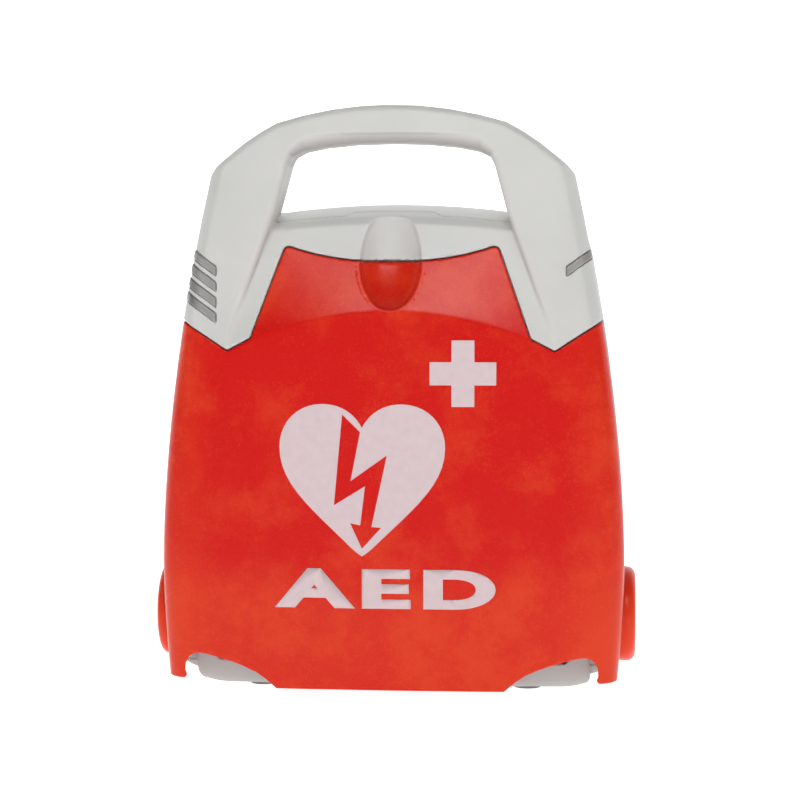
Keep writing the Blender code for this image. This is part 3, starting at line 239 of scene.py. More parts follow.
def lid_top(x):
    curve = LID_TOP_MID + LID_TOP_RISE * (min(x, LID_CORNER_X) / LID_CORNER_X) ** LID_TOP_POWER
    return curve if x < LID_CORNER_X else float(along(LID_TOP_OUTER, x))


def ear_tangent(radius, by):
    away_y, away_z = LID_REAR_TOP[0] + by, LID_REAR_TOP[1] - HINGE_Z
    return math.atan2(away_z, away_y) - math.acos(radius / math.hypot(away_y, away_z))


def around(radius, start, end, steps):
    turns = [start + (end - start) * k / steps for k in range(steps + 1)]
    return [(radius * math.cos(a), HINGE_Z + radius * math.sin(a)) for a in turns]


def eased(before, corner, after, reach):
    """A round turn at a corner, which starts and ends a distance before and after it."""
    before, corner, after = Vector(before), Vector(corner), Vector(after)
    start = corner + (before - corner).normalized() * reach
    end = corner + (after - corner).normalized() * reach
    turn = [k / 6 for k in range(7)]
    return [tuple(start * (1 - t) ** 2 + corner * 2 * t * (1 - t) + end * t * t) for t in turn]


def lid_front_loop(by, low):
    half = [(0.0, LID_TOP_MID)] + [(x, lid_top(x)) for x in (0.010, 0.020, 0.030, 0.040, 0.048)]
    half += eased(half[-1], *LID_TOP_OUTER[:2], 0.0034)
    half += list(LID_TOP_OUTER[1:]) + [(0.135, LID_REAR_TOP[1])]
    return grown(mirrored(half + low), by)


LID_LOW = [(0.135, 0.0070)] + list(reversed(LID_BOTTOM))
lid_front = outline_field(lid_front_loop(0.0, LID_LOW), (-0.135, -0.006), (0.135, 0.245))
lid_hole = outline_field(lid_front_loop(LID_EDGE_GAP, [(0.135, -0.012)]), (-0.135, -0.006), (0.135, 0.31),
                         0.0007)
tangent = ear_tangent(EAR_R, 0.0)
lid_side = outline_field(
    [(-0.080, -0.012), (LID_HEEL[0], -0.012), LID_HEEL] + around(EAR_R, -math.pi + 0.6435, tangent, 24)
    + [LID_REAR_TOP, (LID_REAR_TOP[0], 0.250), (-0.080, 0.250)], (-0.056, -0.006), (0.056, 0.245))
wide = ear_tangent(EAR_R + EAR_GAP, FLANGE_GAP)
flange_y = LID_REAR_TOP[0] + FLANGE_GAP
side_room = outline_field(
    [(-0.080, -0.020), (0.070, -0.020), (0.070, HINGE_Z)] + around(EAR_R + EAR_GAP, 0.0, wide, 10)
    + [(flange_y, LID_REAR_TOP[1] + 0.001), (flange_y, 0.250), (-0.080, 0.250)],
    (-0.056, -0.006), (0.056, 0.31), 0.0007)
horseshoe_front = outline_field(horseshoe_outline(0.170), (-0.125, 0.150), (0.125, 0.31))
deck_front = outline_field(mirrored(DECK), (-0.125, -0.006), (0.125, 0.31), 0.0007)


def slots(x, z, sides, by=0.0):
    """The slanted slots that run off the shoulders: four on the left, one on the right."""
    ax = np.abs(x)
    up = (z - SLOT_Z - SLOT_RISE * (ax - SLOT_INNER_X)) / math.hypot(1.0, SLOT_RISE)
    half, pitch = SLOT_HEIGHT / 2 / math.hypot(1.0, SLOT_RISE), SLOT_PITCH / math.hypot(1.0, SLOT_RISE)
    row = np.full(np.broadcast(x, z).shape, 9.0)
    for index in range(4):
        one = np.abs(up - half + index * pitch) - half
        one = np.where(x < 0, one, one if index == 0 else 9.0)
        row = np.minimum(row, one)
    if sides:
        row = np.where(x * sides > 0, row, 9.0)
    return both(row, SLOT_INNER_X - ax, 0.0006) + by


def above(x, y, z, height, h=0.0002):
    """Distance above a height field, allowing for its slope."""
    across = (height(x + h, y) - height(x - h, y)) / (2 * h)
    deep = (height(x, y + h) - height(x, y - h)) / (2 * h)
    return (z - height(x, y)) / np.sqrt(1.0 + across ** 2 + deep ** 2)


def step_up(value):
    t = np.clip(value, 0.0, 1.0)
    return t * t * (3 - 2 * t)


def parting(x, z):
    """The seam between the two shells, set back behind the finger scoop and under the base."""
    scoop = step_up((0.026 - np.abs(x)) / 0.006) * step_up((z - 0.200) / 0.008)
    return PARTING_Y + 0.0065 * np.maximum(scoop, step_up((0.030 - z) / 0.010))


def outer_solid(x, y, z):
    """The housing's outer form, before the lid's room is taken out."""
    ax = np.abs(x)
    core = section(x, y, z, body_face(x, z))
    core = both(core, y - BACK_Y, BACK_CORNER_R)
    core = both(core, above(x, y, z, crown), 0.0035)
    core = both(core, -above(x, y, z, underside), 0.0015)
    lean = shift(x, z)
    slab = np.maximum(FRONT_Y + lean - y, y - FRONT_Y - HANDLE_DEPTH - lean)
    grip = np.clip((z - 0.268) / 0.006, 0.0, 1.0) * np.clip((0.056 - ax) / 0.010, 0.0, 1.0)
    under = np.clip((0.2925 - z) / 0.004, 0.0, 1.0)
    loop = both(horseshoe_front(x, z), slab, HANDLE_ROUND + 0.0045 * grip * under)
    loop = both(loop, section(x, y, z, FRONT_Y - 0.001 + lean), 0.0005)
    return either(core, loop, 0.0015)


def housing_solid(x, y, z):
    """The housing with the lid's room, the deck, the finger scoop and the battery bay taken out."""
    ax = np.abs(x)
    rho = np.hypot(y, z - HINGE_Z)
    solid = outer_solid(x, y, z)
    room = both(both(lid_hole(x, z), side_room(y, z), 0.0005), -lid_core(x, y, z), 0.0004)
    solid = both(solid, -room, 0.0009 + 0.0040 * step_up((0.022 - z) / 0.016))
    ends = np.maximum(np.maximum(BASE_END_X - ax, z - BASE_END_Z), EAR_R + 0.0005 - rho)
    solid = both(solid, -ends, 0.0022)
    solid = both(solid, -both(HUB_FACE_X - ax, rho - EAR_R - 0.0015, 0.0), 0.0006)
    solid = both(solid, -egg(x, y, z, SCOOP_UP, 0.0), 0.0010)
    solid = both(solid, -both(egg(x, y, z, SCOOP_DOWN, LID_WALL + 0.0006), z - LID_TOP_MID - 0.0008), 0.0005)
    solid = both(solid, -both(deck_front(x, z), y - DECK_Y, 0.0012), 0.0009)
    bay = both(ax - BAY_HALF, np.abs(z - (BAY_LOW + BAY_HIGH) / 2) - (BAY_HIGH - BAY_LOW) / 2, 0.0010)
    return both(solid, -both(bay, BAY_FRONT_Y - y, 0.0006), 0.0008)


def housing_shell(x, y, z):
    solid = housing_solid(x, y, z)
    return np.maximum(solid, -(solid + WALL))


def round_hole(x, z, at_x, at_z, radius):
    return np.hypot(x - at_x, z - at_z) - radius


def front_field(x, y, z):
    shell = both(housing_shell(x, y, z), y - parting(x, z) + SEAM_HALF, 0.0004)
    cut = both(slots(x, z, 0), y - PARTING_Y + 0.0015)
    shell = both(shell, -cut, 0.0005)
    deck = np.minimum(round_hole(x, z, PANEL_X, SHOCK_Z, SHOCK_R + 0.003),
                      round_hole(x, z, PANEL_X, POWER_Z, POWER_R + 0.003))
    deck = np.minimum(deck, np.maximum(np.abs(x - PANEL_X) - 0.017, np.abs(z - SOCKET_Z) - 0.010))
    deck = np.minimum(deck, np.maximum(np.abs(x - PANEL_X) - 0.017, np.abs(z - LENS_Z) - 0.0035))
    for k in range(-3, 4):
        half = math.sqrt(SPEAKER_R ** 2 - (k * SPEAKER_PITCH) ** 2) - 0.003
        slot = np.hypot(np.maximum(np.abs(x - SPEAKER_X) - half, 0.0), z - SPEAKER_Z - k * SPEAKER_PITCH)
        deck = np.minimum(deck, slot - 0.0014)
    deck = np.maximum(deck, np.abs(y + 0.030) - 0.006)
    for at_x, at_z in STUD_PLACES:
        stud = np.maximum(round_hole(x, z, at_x, at_z - 0.0004, 0.0042), np.abs(y + 0.0335) - 0.0055)
        deck = np.minimum(deck, stud)
    return both(shell, -deck, 0.0004)


def rear_field(x, y, z):
    rho = np.hypot(y, z - HINGE_Z)
    shell = both(housing_shell(x, y, z), parting(x, z) + SEAM_HALF - y, 0.0004)
    shell = either(shell, both(rho - 0.0095, np.abs(np.abs(x) - 0.1068) - 0.0070), 0.0004)
    shell = both(shell, -both(rho - BORE_R, 0.090 - np.abs(x)), 0.0003)
    for at_x, at_z in CASE_SCREWS:
        away = np.hypot(x - at_x, z - at_z)
        post = np.maximum(away - POST_R, np.maximum(-0.0117 - y, y - 0.0485))
        shell = np.minimum(shell, post)
        bore = np.minimum(away - SCREW_HOLE_R, np.maximum(away - SCREW_HEAD_R, -0.006 - y))
        shell = both(shell, -bore, 0.0004)
    for at_x, at_y in FEET:
        pocket = np.maximum(np.hypot(x - at_x, y - at_y) - 0.0075, z - BASE_Z - 0.0018)
        shell = np.maximum(shell, -pocket)
    latch = np.maximum(np.maximum(np.abs(x) - 0.0114, np.abs(z - 0.1159) - 0.0083), 0.043 - y)
    contacts = np.maximum(np.maximum(np.abs(x) - 0.016, np.abs(z - 0.067) - 0.007), np.abs(y - 0.008) - 0.005)
    return both(shell, -np.minimum(latch, contacts), 0.0004)


def lid_outer(x, y, z):
    return section(x, y, z, lid_face(x, z)) + SKIN


def lid_field(x, y, z):
    rho = np.hypot(y, z - HINGE_Z)
    outer = lid_outer(x, y, z)
    skin = np.maximum(outer, -(outer + LID_WALL - SKIN))
    edge = both(lid_front(x, z), lid_side(y, z), 0.0005)
    shell = both(skin, edge, 0.0007)
    cup = both(egg(x, y, z, SCOOP_DOWN, LID_WALL - 0.0003), z - LID_TOP_MID, 0.0006)
    cup = np.maximum(np.maximum(cup, outer), 0.190 - z)
    shell = either(shell, cup, 0.0005)
    shell = both(shell, -egg(x, y, z, SCOOP_DOWN, 0.0), 0.0012)
    boss = both(rho - BOSS_R, np.maximum(np.abs(x) - BOSS_OUT, BOSS_IN - np.abs(x)), 0.0046)
    shell = either(shell, boss, 0.0012)
    return np.maximum(shell, -np.maximum(rho - BORE_R, np.abs(x) - BORE_END_X))


def insert_field(side):
    def field(x, y, z):
        grown_solid = outer_solid(x, y, z) - 0.0006
        piece = both(slots(x, z, side, 0.0001), grown_solid, 0.0009)
        depth = np.maximum(y - PARTING_Y + 0.0020, -0.0470 - y)
        return both(piece, depth, 0.0003)
    return field


# Meshes


def show(obj, look, body, replaces=()):
    """Puts a piece in the scene on its body, with its finish."""
    if not obj.users_collection:
        SCENE.collection.objects.link(obj)
    if look is not None:
        obj.data.materials.clear()
        obj.data.materials.append(look)
    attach(obj, body)
    if replaces:
        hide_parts(*replaces)
    return obj


def surface(name, field, low, high, step):
    """A closed mesh of a field's zero surface: one point to a cell, moved onto it, with its normals."""
    axes = [np.arange(a - step, b + 2 * step, step) for a, b in zip(low, high)]
    values = np.empty([len(a) for a in axes], np.float32)
    for start in range(0, len(axes[0]), 24):
        x = axes[0][start:start + 24, None, None]
        values[start:start + 24] = field(x, axes[1][None, :, None], axes[2][None, None, :])
    inside = values < 0
    corners = [(a, b, c) for a in (0, 1) for b in (0, 1) for c in (0, 1)]
    n = [len(a) - 1 for a in axes]
    total = np.zeros(n, np.int8)
    for a, b, c in corners:
        total += inside[a:a + n[0], b:b + n[1], c:c + n[2]]
    cells = np.argwhere((total > 0) & (total < 8))
    ids = np.full(n, -1, np.int64)
    ids[tuple(cells.T)] = np.arange(len(cells))
    at = {corner: values[tuple((cells + corner).T)].astype(float) for corner in corners}
    place, count = np.zeros((len(cells), 3)), np.zeros(len(cells))
    for a in corners:
        for axis in range(3):
            if a[axis]:
                continue
            b = tuple(1 if k == axis else a[k] for k in range(3))
            crossed = (at[a] < 0) != (at[b] < 0)
            t = at[a][crossed] / (at[a][crossed] - at[b][crossed])
            place[crossed] += np.array(a)
            place[crossed, axis] += t
            count[crossed] += 1
    origin = np.array([a[0] for a in axes])
    points = origin + (cells + place / count[:, None]) * step
    faces = []
    for axis in range(3):
        u, v = (axis + 1) % 3, (axis + 2) % 3
        first = [slice(1, n[k]) for k in range(3)]
        first[axis] = slice(0, n[axis])
        second = list(first)
        second[axis] = slice(1, n[axis] + 1)
        crossed = inside[tuple(first)] != inside[tuple(second)]
        where = np.argwhere(crossed) + [0 if k == axis else 1 for k in range(3)]
        flip = ~inside[tuple(where.T)]
        ring = []
        for du, dv in ((-1, -1), (0, -1), (0, 0), (-1, 0)):
            cell = where.copy()
            cell[:, u] += du
            cell[:, v] += dv
            ring.append(ids[tuple(cell.T)])
        quad = np.stack(ring, 1)
        quad[flip] = quad[flip][:, ::-1]
        faces.append(quad)
    faces = np.concatenate(faces)

    def value(p):
        return field(p[:, 0], p[:, 1], p[:, 2])

    def slope(p, h=0.00012):
        return np.stack([(value(p + d) - value(p - d)) / (2 * h) for d in np.eye(3) * h], 1)

    for _ in range(2):
        grad = slope(points)
        move = -(value(points) / np.maximum((grad ** 2).sum(1), 0.2))[:, None] * grad
        reach = np.linalg.norm(move, axis=1, keepdims=True)
        points += move * np.minimum(1.0, 0.45 * step / np.maximum(reach, 1e-9))
    normals = slope(points)
    normals /= np.maximum(np.linalg.norm(normals, axis=1, keepdims=True), 1e-9)
    mesh = bpy.data.meshes.new(name)
    mesh.from_pydata(points.tolist(), [], faces.tolist())
    mesh.shade_smooth()
    mesh.normals_split_custom_set_from_vertices(normals.tolist())
    return bpy.data.objects.new(name, mesh)


# Finishes


def nodes_of(name):
    made = bpy.data.materials.new(name)
    made.use_nodes = True
    tree = made.node_tree
    return made, tree, tree.nodes["Principled BSDF"]


def add(tree, kind, **values):
    node = tree.nodes.new(kind)
    for key, value in values.items():
        if hasattr(node, key):
            setattr(node, key, value)
        else:
            node.inputs[key.replace("_", " ")].default_value = value
    return node


def noise(tree, scale, detail=4.0, rough=0.5):
    where = add(tree, "ShaderNodeTexCoord")
    made = add(tree, "ShaderNodeTexNoise", Scale=scale, Detail=detail, Roughness=rough)
    tree.links.new(where.outputs["Object"], made.inputs["Vector"])
    return made


def ranged(tree, source, a, b, low, high, kind="SMOOTHSTEP"):
    """A value that runs from low to high while its source runs from a to b."""
    made = add(tree, "ShaderNodeMapRange", interpolation_type=kind)
    for key, value in zip(("From Min", "From Max", "To Min", "To Max"), (a, b, low, high)):
        made.inputs[key].default_value = value
    tree.links.new(source, made.inputs["Value"])
    return made.outputs["Result"]


def spread(tree, source, low, high):
    return ranged(tree, source, 0.3, 0.7, low, high, "LINEAR")


def parts_of(tree, kind="Object"):
    """The X, Y and Z of a point in the object's own frame, or of its normal."""
    where = add(tree, "ShaderNodeTexCoord")
    apart = add(tree, "ShaderNodeSeparateXYZ")
    tree.links.new(where.outputs[kind], apart.inputs["Vector"])
    return apart.outputs


def unsigned(tree, source):
    made = add(tree, "ShaderNodeMath", operation="ABSOLUTE")
    tree.links.new(source, made.inputs[0])
    return made.outputs["Value"]


def mixed(tree, factor, a, b):
    """Two colours mixed. The first may come from another node."""
    made = add(tree, "ShaderNodeMix", data_type="RGBA")
    tree.links.new(factor, made.inputs["Factor"])
    if isinstance(a, bpy.types.NodeSocket):
        tree.links.new(a, made.inputs["A"])
    else:
        made.inputs["A"].default_value = (*a, 1.0)
    made.inputs["B"].default_value = (*b, 1.0)
    return made.outputs["Result"]


def linear(r, g, b):
    return tuple((c / 255 / 12.92) if c <= 10 else ((c / 255 + 0.055) / 1.055) ** 2.4 for c in (r, g, b))


def finish(name, colour, other, rough, scale=60.0, grain=900.0, bump=0.02, metal=0.0, coat=0.0, clear=0.0):
    """A moulded or metal finish: two near tones, an uneven gloss and a fine grain."""
    made, tree, shader = nodes_of(name)
    cloud = noise(tree, scale)
    tone = mixed(tree, spread(tree, cloud.outputs["Fac"], 0.0, 1.0), linear(*colour), linear(*other))
    tree.links.new(tone, shader.inputs["Base Color"])
    tree.links.new(spread(tree, cloud.outputs["Fac"], rough * 0.88, rough * 1.12), shader.inputs["Roughness"])
    fine = noise(tree, grain, 2.0)
    lift = add(tree, "ShaderNodeBump", Strength=bump, Distance=0.001)
    tree.links.new(fine.outputs["Fac"], lift.inputs["Height"])
    tree.links.new(lift.outputs["Normal"], shader.inputs["Normal"])
    shader.inputs["Metallic"].default_value = metal
    shader.inputs["Coat Weight"].default_value = coat
    shader.inputs["Coat Roughness"].default_value = 0.06
    shader.inputs["Transmission Weight"].default_value = clear
    return made


def mottled_red_with_painted_sheen():
    """The lid's red: mottled at random, with painted highlight that makes it warmer and lighter at its top,
    bottom and sides, and a fine speckle.
    """
    made = finish("red_plastic", (200, 12, 12), (210, 20, 14), 0.28, 12.0, 900.0, 0.010)
    tree = made.node_tree
    shader = tree.nodes["Principled BSDF"]
    shader.inputs["Specular IOR Level"].default_value = 0.17
    place = parts_of(tree)
    # Painted highlight: these zones make the red warmer and lighter towards the lid's bottom, its top band
    # and its sides; the two noises add random mottle and a fine speckle.
    zones = ((place["Z"], 0.040, 0.085, 0.50, 0.0), (place["Z"], 0.185, 0.205, 0.0, 0.35),
             (unsigned(tree, place["X"]), 0.080, 0.115, 0.0, 0.45),
             (noise(tree, 26.0, 8.0, 0.72).outputs["Fac"], 0.42, 0.66, -0.10, 0.50),
             (noise(tree, 850.0, 3.0, 0.6).outputs["Fac"], 0.50, 0.68, -0.02, 0.40))
    painted_sheen_and_mottle = ranged(tree, *zones[0])
    for zone in zones[1:]:
        total = add(tree, "ShaderNodeMath", operation="ADD")
        tree.links.new(painted_sheen_and_mottle, total.inputs[0])
        tree.links.new(ranged(tree, *zone), total.inputs[1])
        painted_sheen_and_mottle = total.outputs["Value"]
    tree.links.new(mixed(tree, painted_sheen_and_mottle, linear(202, 15, 11), linear(216, 60, 28)), shader.inputs["Base Color"])
    return made


RED = mottled_red_with_painted_sheen()


def housing_grey():
    """The case's grey, with painted shade that darkens it towards its base and on faces that look down."""
    made = finish("grey_plastic", (197, 197, 194), (203, 203, 200), 0.46, 25.0, 1500.0, 0.02)
    tree = made.node_tree
    tint = tree.nodes["Principled BSDF"].inputs["Base Color"]
    # Painted shade: the grey darkens towards the base, below 42 mm.
    low = ranged(tree, parts_of(tree)["Z"], 0.016, 0.042, 1.0, 0.0)
    tone_with_painted_base_shade = mixed(tree, low, tint.links[0].from_socket, linear(158, 154, 152))
    # Painted shade: faces that look down are darkened.
    under = ranged(tree, parts_of(tree, "Normal")["Z"], -0.75, -0.05, 0.8, 0.0)
    tree.links.new(mixed(tree, under, tone_with_painted_base_shade, linear(160, 158, 156)), tint)
    return made


def slot_plastic():
    """The slots' filling, with the photo's light and dark tones painted along it as painted highlight and
    painted shade.
    """
    made = finish("slot_plastic", (150, 148, 144), (158, 156, 152), 0.30, 30.0, 1200.0, 0.015)
    tree = made.node_tree
    reach = ranged(tree, unsigned(tree, parts_of(tree)["X"]), 0.090, 0.112, 0.0, 1.0, "LINEAR")
    painted_light_and_shade_ramp = add(tree, "ShaderNodeValToRGB")
    # Painted highlight and painted shade: a dark band and a light band along the slot towards the side.
    steps = ((0.0, 146), (0.36, 152), (0.62, 104), (0.76, 186), (1.0, 158))
    ramp = painted_light_and_shade_ramp.color_ramp
    while len(ramp.elements) < len(steps):
        ramp.elements.new(0.5)
    for element, (at, grey) in zip(ramp.elements, steps):
        element.position = at
        element.color = (*linear(grey, grey - 2, grey - 5), 1.0)
    tree.links.new(reach, painted_light_and_shade_ramp.inputs["Fac"])
    tree.links.new(painted_light_and_shade_ramp.outputs["Color"], tree.nodes["Principled BSDF"].inputs["Base Color"])
    return made


GREY = housing_grey()
DARK = slot_plastic()
WHITE_INK = finish("white_ink", (210, 192, 195), (204, 185, 188), 0.55, 200.0, 2500.0, 0.03)
STEEL = finish("plain_steel", (176, 178, 182), (196, 197, 200), 0.30, 80.0, 1800.0, 0.02, metal=1.0)
PANEL = finish("panel_film", (222, 224, 222), (228, 230, 229), 0.42, 40.0, 1600.0, 0.02)
GREEN = finish("green_plastic", (18, 140, 60), (22, 150, 66), 0.28, 60.0, 1200.0, 0.01, coat=0.3)
ORANGE = finish("orange_plastic", (236, 112, 20), (240, 122, 28), 0.28, 60.0, 1200.0, 0.01, coat=0.3)
BLACK = finish("black_plastic", (24, 24, 25), (32, 32, 33), 0.45, 60.0, 1500.0, 0.03)
RUBBER = finish("grey_rubber", (126, 124, 121), (136, 134, 130), 0.75, 60.0, 1200.0, 0.08)
BOARD = finish("green_board", (16, 84, 44), (24, 96, 52), 0.40, 90.0, 1500.0, 0.03)
BLUE = finish("blue_sleeve", (28, 52, 120), (34, 62, 134), 0.25, 60.0, 900.0, 0.01, coat=0.3)
COPPER = finish("wound_copper", (190, 112, 64), (160, 88, 48), 0.35, 120.0, 2200.0, 0.10, metal=1.0)
BATTERY = finish("battery_plastic", (92, 94, 96), (100, 102, 104), 0.42, 30.0, 1500.0, 0.03)
LENS = finish("clear_plastic", (225, 240, 232), (215, 235, 225), 0.12, 60.0, 900.0, 0.005, clear=0.6)

# The three shells and the slots' fillings
show(surface("front_shell", front_field, (-0.1230, -0.0500, 0.0), (0.1230, -0.0205, 0.3045), 0.0010), GREY,
     "housing", ("front_housing",))
show(surface("rear_shell", rear_field, (-0.1230, -0.0280, 0.0), (0.1230, 0.0505, 0.3045), 0.00135), GREY,
     "housing", ("rear_housing",))
show(surface("lid_shell", lid_field, (-0.1290, -0.0500, 0.0), (0.1290, 0.0325, 0.2330), 0.0010), RED,
     "lid", ("lid_cover",))
show(surface("left_slot_bars", insert_field(-1), (-0.1110, -0.0480, 0.188), (-0.0885, -0.0290, 0.236),
             0.0005), DARK, "housing", ("speaker_grille_insert",))
show(surface("right_slot_light", insert_field(1), (0.0885, -0.0480, 0.212), (0.1110, -0.0290, 0.236),
             0.0005), DARK, "housing", ("status_light_pipe",))


# Printed marks on the lid


def stamped(name, source, look, body, face, raised=0.00022):
    """A flat shape cut into strips and laid on a bowed face, with the thickness of its ink."""
    SCENE.collection.objects.link(source)
    bpy.context.view_layer.update()
    mesh = bpy.data.meshes.new_from_object(source.evaluated_get(bpy.context.evaluated_depsgraph_get()))
    mesh.transform(source.matrix_world)
    bpy.data.objects.remove(source)
    bm = bmesh.new()
    bm.from_mesh(mesh)
    bmesh.ops.remove_doubles(bm, verts=bm.verts, dist=0.00001)
    low, high = min(v.co.x for v in bm.verts), max(v.co.x for v in bm.verts)
    strip = 0.003
    for k in range(int(low / strip), int(high / strip) + 1):
        bmesh.ops.bisect_plane(bm, geom=bm.verts[:] + bm.edges[:] + bm.faces[:], plane_co=(k * strip, 0, 0),
                               plane_no=(1, 0, 0))
    for vertex in bm.verts:
        vertex.co.y = float(face(vertex.co.x, vertex.co.z)) - raised
    for shape in bm.faces:
        shape.normal_update()
        if shape.normal.y > 0:
            shape.normal_flip()
    bm.to_mesh(mesh)
    bm.free()
    made = bpy.data.objects.new(name, mesh)
    SCENE.collection.objects.link(made)
    thick = made.modifiers.new("ink", "SOLIDIFY")
    thick.thickness = INK_THICK
    thick.offset = -1.0
    return show(made, look, body)


def flat_curve(loops, turn=None):
    """Closed outlines in front view, filled, the later ones as holes."""
    curve = bpy.data.curves.new("outline", "CURVE")
    curve.dimensions = "2D"
    curve.fill_mode = "FRONT"
    for loop in loops:
        line = curve.splines.new("POLY")
        line.points.add(len(loop) - 1)
        for point, (x, z) in zip(line.points, loop):
            point.co = (x, z, 0.0, 1.0)
        line.use_cyclic_u = True
    made = bpy.data.objects.new("outline", curve)
    made.matrix_world = turn or Matrix.Rotation(math.pi / 2, 4, "X")
    return made


def word(text, x, z, size, wide=1.0, bold=0.0, apart=1.0):
    curve = bpy.data.curves.new("word", "FONT")
    curve.body = text
    curve.size = size
    curve.align_x, curve.align_y = "CENTER", "CENTER"
    curve.fill_mode = "FRONT"
    curve.offset = bold
    curve.space_character = apart
    made = bpy.data.objects.new("word", curve)
    upright = Matrix.Translation((x, 0, z)) @ Matrix.Rotation(math.pi / 2, 4, "X")
    made.matrix_world = upright @ Matrix.Diagonal((wide, 1, 1, 1))
    return made


def plus_loop(x, z, size, arm):
    a, b = size / 2, arm / 2
    corners = ((b, b), (a, b), (a, -b), (b, -b), (b, -a), (-b, -a),
               (-b, -b), (-a, -b), (-a, b), (-b, b), (-b, a), (b, a))
    return [(x + u, z + v) for u, v in corners]


def bezier(points, steps=10):
    """Points along joined cubic curves: an end, two pulls, an end, and so on."""
    out = []
    for k in range(0, len(points) - 1, 3):
        a, b, c, d = (np.array(p) for p in points[k:k + 4])
        for t in np.arange(steps) / steps:
            spot = a * (1 - t) ** 3 + 3 * b * t * (1 - t) ** 2
            out.append(tuple(spot + 3 * c * t * t * (1 - t) + d * t ** 3))
    return out


INK_LIFT = INK_PROUD - SKIN + INK_THICK
HEART_X = -0.0141
HEART = ((0.0, 0.1386), (0.0040, 0.1462), (0.0110, 0.1508), (0.0205, 0.1508), (0.0335, 0.1508),
         (0.0428, 0.1410), (0.0428, 0.1285), (0.0428, 0.1110), (0.0290, 0.0990), (0.0100, 0.0810),
         (0.0070, 0.0780), (0.0030, 0.0740), (0.0, 0.0724))
BOLT = ((-0.0243, 0.1455), (-0.0150, 0.1365), (-0.0200, 0.1112), (-0.0012, 0.1246), (-0.0092, 0.0876),
        (-0.0042, 0.0872), (-0.0141, 0.0763), (-0.0202, 0.0894), (-0.0150, 0.0884), (-0.0125, 0.1086),
        (-0.0286, 0.0986))


def heart_loop(x, points):
    right = bezier(points)
    left = [(x - u, v) for u, v in reversed(right[1:])]
    return [(x + u, v) for u, v in right] + [(x, points[-1][1])] + left


for name, shape in (("heart_mark", flat_curve([heart_loop(HEART_X, HEART), BOLT])),
                    ("cross_mark", flat_curve([plus_loop(0.0377, 0.1666, 0.0340, 0.0117)])),
                    ("word_mark", word("AED", -0.0006, 0.0545, 0.0262, 1.95, 0.0013, 1.24))):
    stamped(name, shape, WHITE_INK, "lid", lid_face, INK_LIFT)

# Finishes of the carried-over nodes; those not named are steel
KEPT = {
    "battery_contacts": STEEL, "battery_latch": GREY, "battery_pack": BATTERY, "button_board": BOARD,
    "capacitor_clamp": STEEL, "control_panel": PANEL, "electrode_socket": ORANGE, "energy_capacitor": BLUE,
    "high_voltage_board": BOARD, "lid_magnet": STEEL, "main_board": BOARD, "on_off_button": GREEN,
    "reed_sensor": BLACK, "relay": BLACK, "shock_button": ORANGE, "speaker": BLACK, "status_lens": LENS,
    "transformer": COPPER,
}


def soften(obj, width, segments=2, angle=35.0):
    """Rounds an obj's sharp edges, whatever triangles its flat faces are cut into."""
    for shape in obj.data.polygons:
        shape.use_smooth = True
    if "custom_normal" in obj.data.attributes:
        obj.data.attributes.remove(obj.data.attributes["custom_normal"])
    weld = obj.modifiers.new("weld", "WELD")
    weld.merge_threshold = 0.000002
    flat = obj.modifiers.new("flat", "DECIMATE")
    flat.decimate_type = "DISSOLVE"
    flat.angle_limit = math.radians(1.0)
    edge = obj.modifiers.new("edge", "BEVEL")
    edge.width = width
    edge.segments = segments
    edge.limit_method = "ANGLE"
    edge.angle_limit = math.radians(angle)
    shade = obj.modifiers.new("shade", "WEIGHTED_NORMAL")
    shade.keep_sharp = True


SOFT_EDGES = {"battery_pack": 0.0012, "battery_latch": 0.0006, "control_panel": 0.0005,
              "electrode_socket": 0.0005, "shock_button": 0.0007, "on_off_button": 0.0006,
              "status_lens": 0.0004, "main_board": 0.0002, "button_board": 0.0002,
              "high_voltage_board": 0.0002, "relay": 0.0005}
for name, node in NODES.items():
    look = KEPT.get(name, STEEL)
    if name.startswith("foot_"):
        look = RUBBER
    node.data.materials.clear()
    node.data.materials.append(look)
    if name in SOFT_EDGES:
        soften(node, SOFT_EDGES[name])


def mesh_piece(name, points, faces, smooth=False):
    mesh = bpy.data.meshes.new(name)
    mesh.from_pydata(points, [], faces)
    if smooth:
        mesh.shade_smooth()
    return bpy.data.objects.new(name, mesh)


def block(name, low, high, width=0.0003):
    """A box with rounded edges."""
    (ax, ay, az), (bx, by, bz) = low, high
    points = [(x, y, z) for x in (ax, bx) for y in (ay, by) for z in (az, bz)]
    faces = [(0, 1, 3, 2), (4, 6, 7, 5), (0, 4, 5, 1), (2, 3, 7, 6), (0, 2, 6, 4), (1, 5, 7, 3)]
    made = mesh_piece(name, points, faces)
    soften(made, width)
    return made


def turned(name, profile, centre, steps=64):
    """Rings of (radius, distance towards the front) about a line along Y."""
    points, faces = [], []
    for r, h in profile:
        points += [(centre[0] + r * math.cos(a), centre[1] - h, centre[2] + r * math.sin(a))
                   for a in np.arange(steps) * 2 * math.pi / steps]
    for k in range(len(profile) - 1):
        for i in range(steps):
            j = (i + 1) % steps
            faces.append((k * steps + i, k * steps + j, (k + 1) * steps + j, (k + 1) * steps + i))
    if profile[0] != profile[-1]:
        faces += [tuple(range(steps))[::-1], tuple(range((len(profile) - 1) * steps, len(profile) * steps))]
    made = mesh_piece(name, points, faces)
    soften(made, 0.0002, 2, 30.0)
    return made


# Deck: rings, icons and lamps on the panel
PANEL_FRONT = DECK_Y - 0.0003 - 0.0018


def panel_face(x, z):
    """The panel's front, the same at every point."""
    return PANEL_FRONT


def ring_loops(x, z, outer, inner, start=0.0, end=2 * math.pi, steps=48):
    """A ring's outline, whole or open."""
    turns = [start + (end - start) * k / steps for k in range(steps + 1)]
    far = [(x + outer * math.cos(a), z + outer * math.sin(a)) for a in turns]
    near = [(x + inner * math.cos(a), z + inner * math.sin(a)) for a in turns]
    return [far + near[::-1]] if end - start < 6.28 else [far[:-1], near[:-1]]


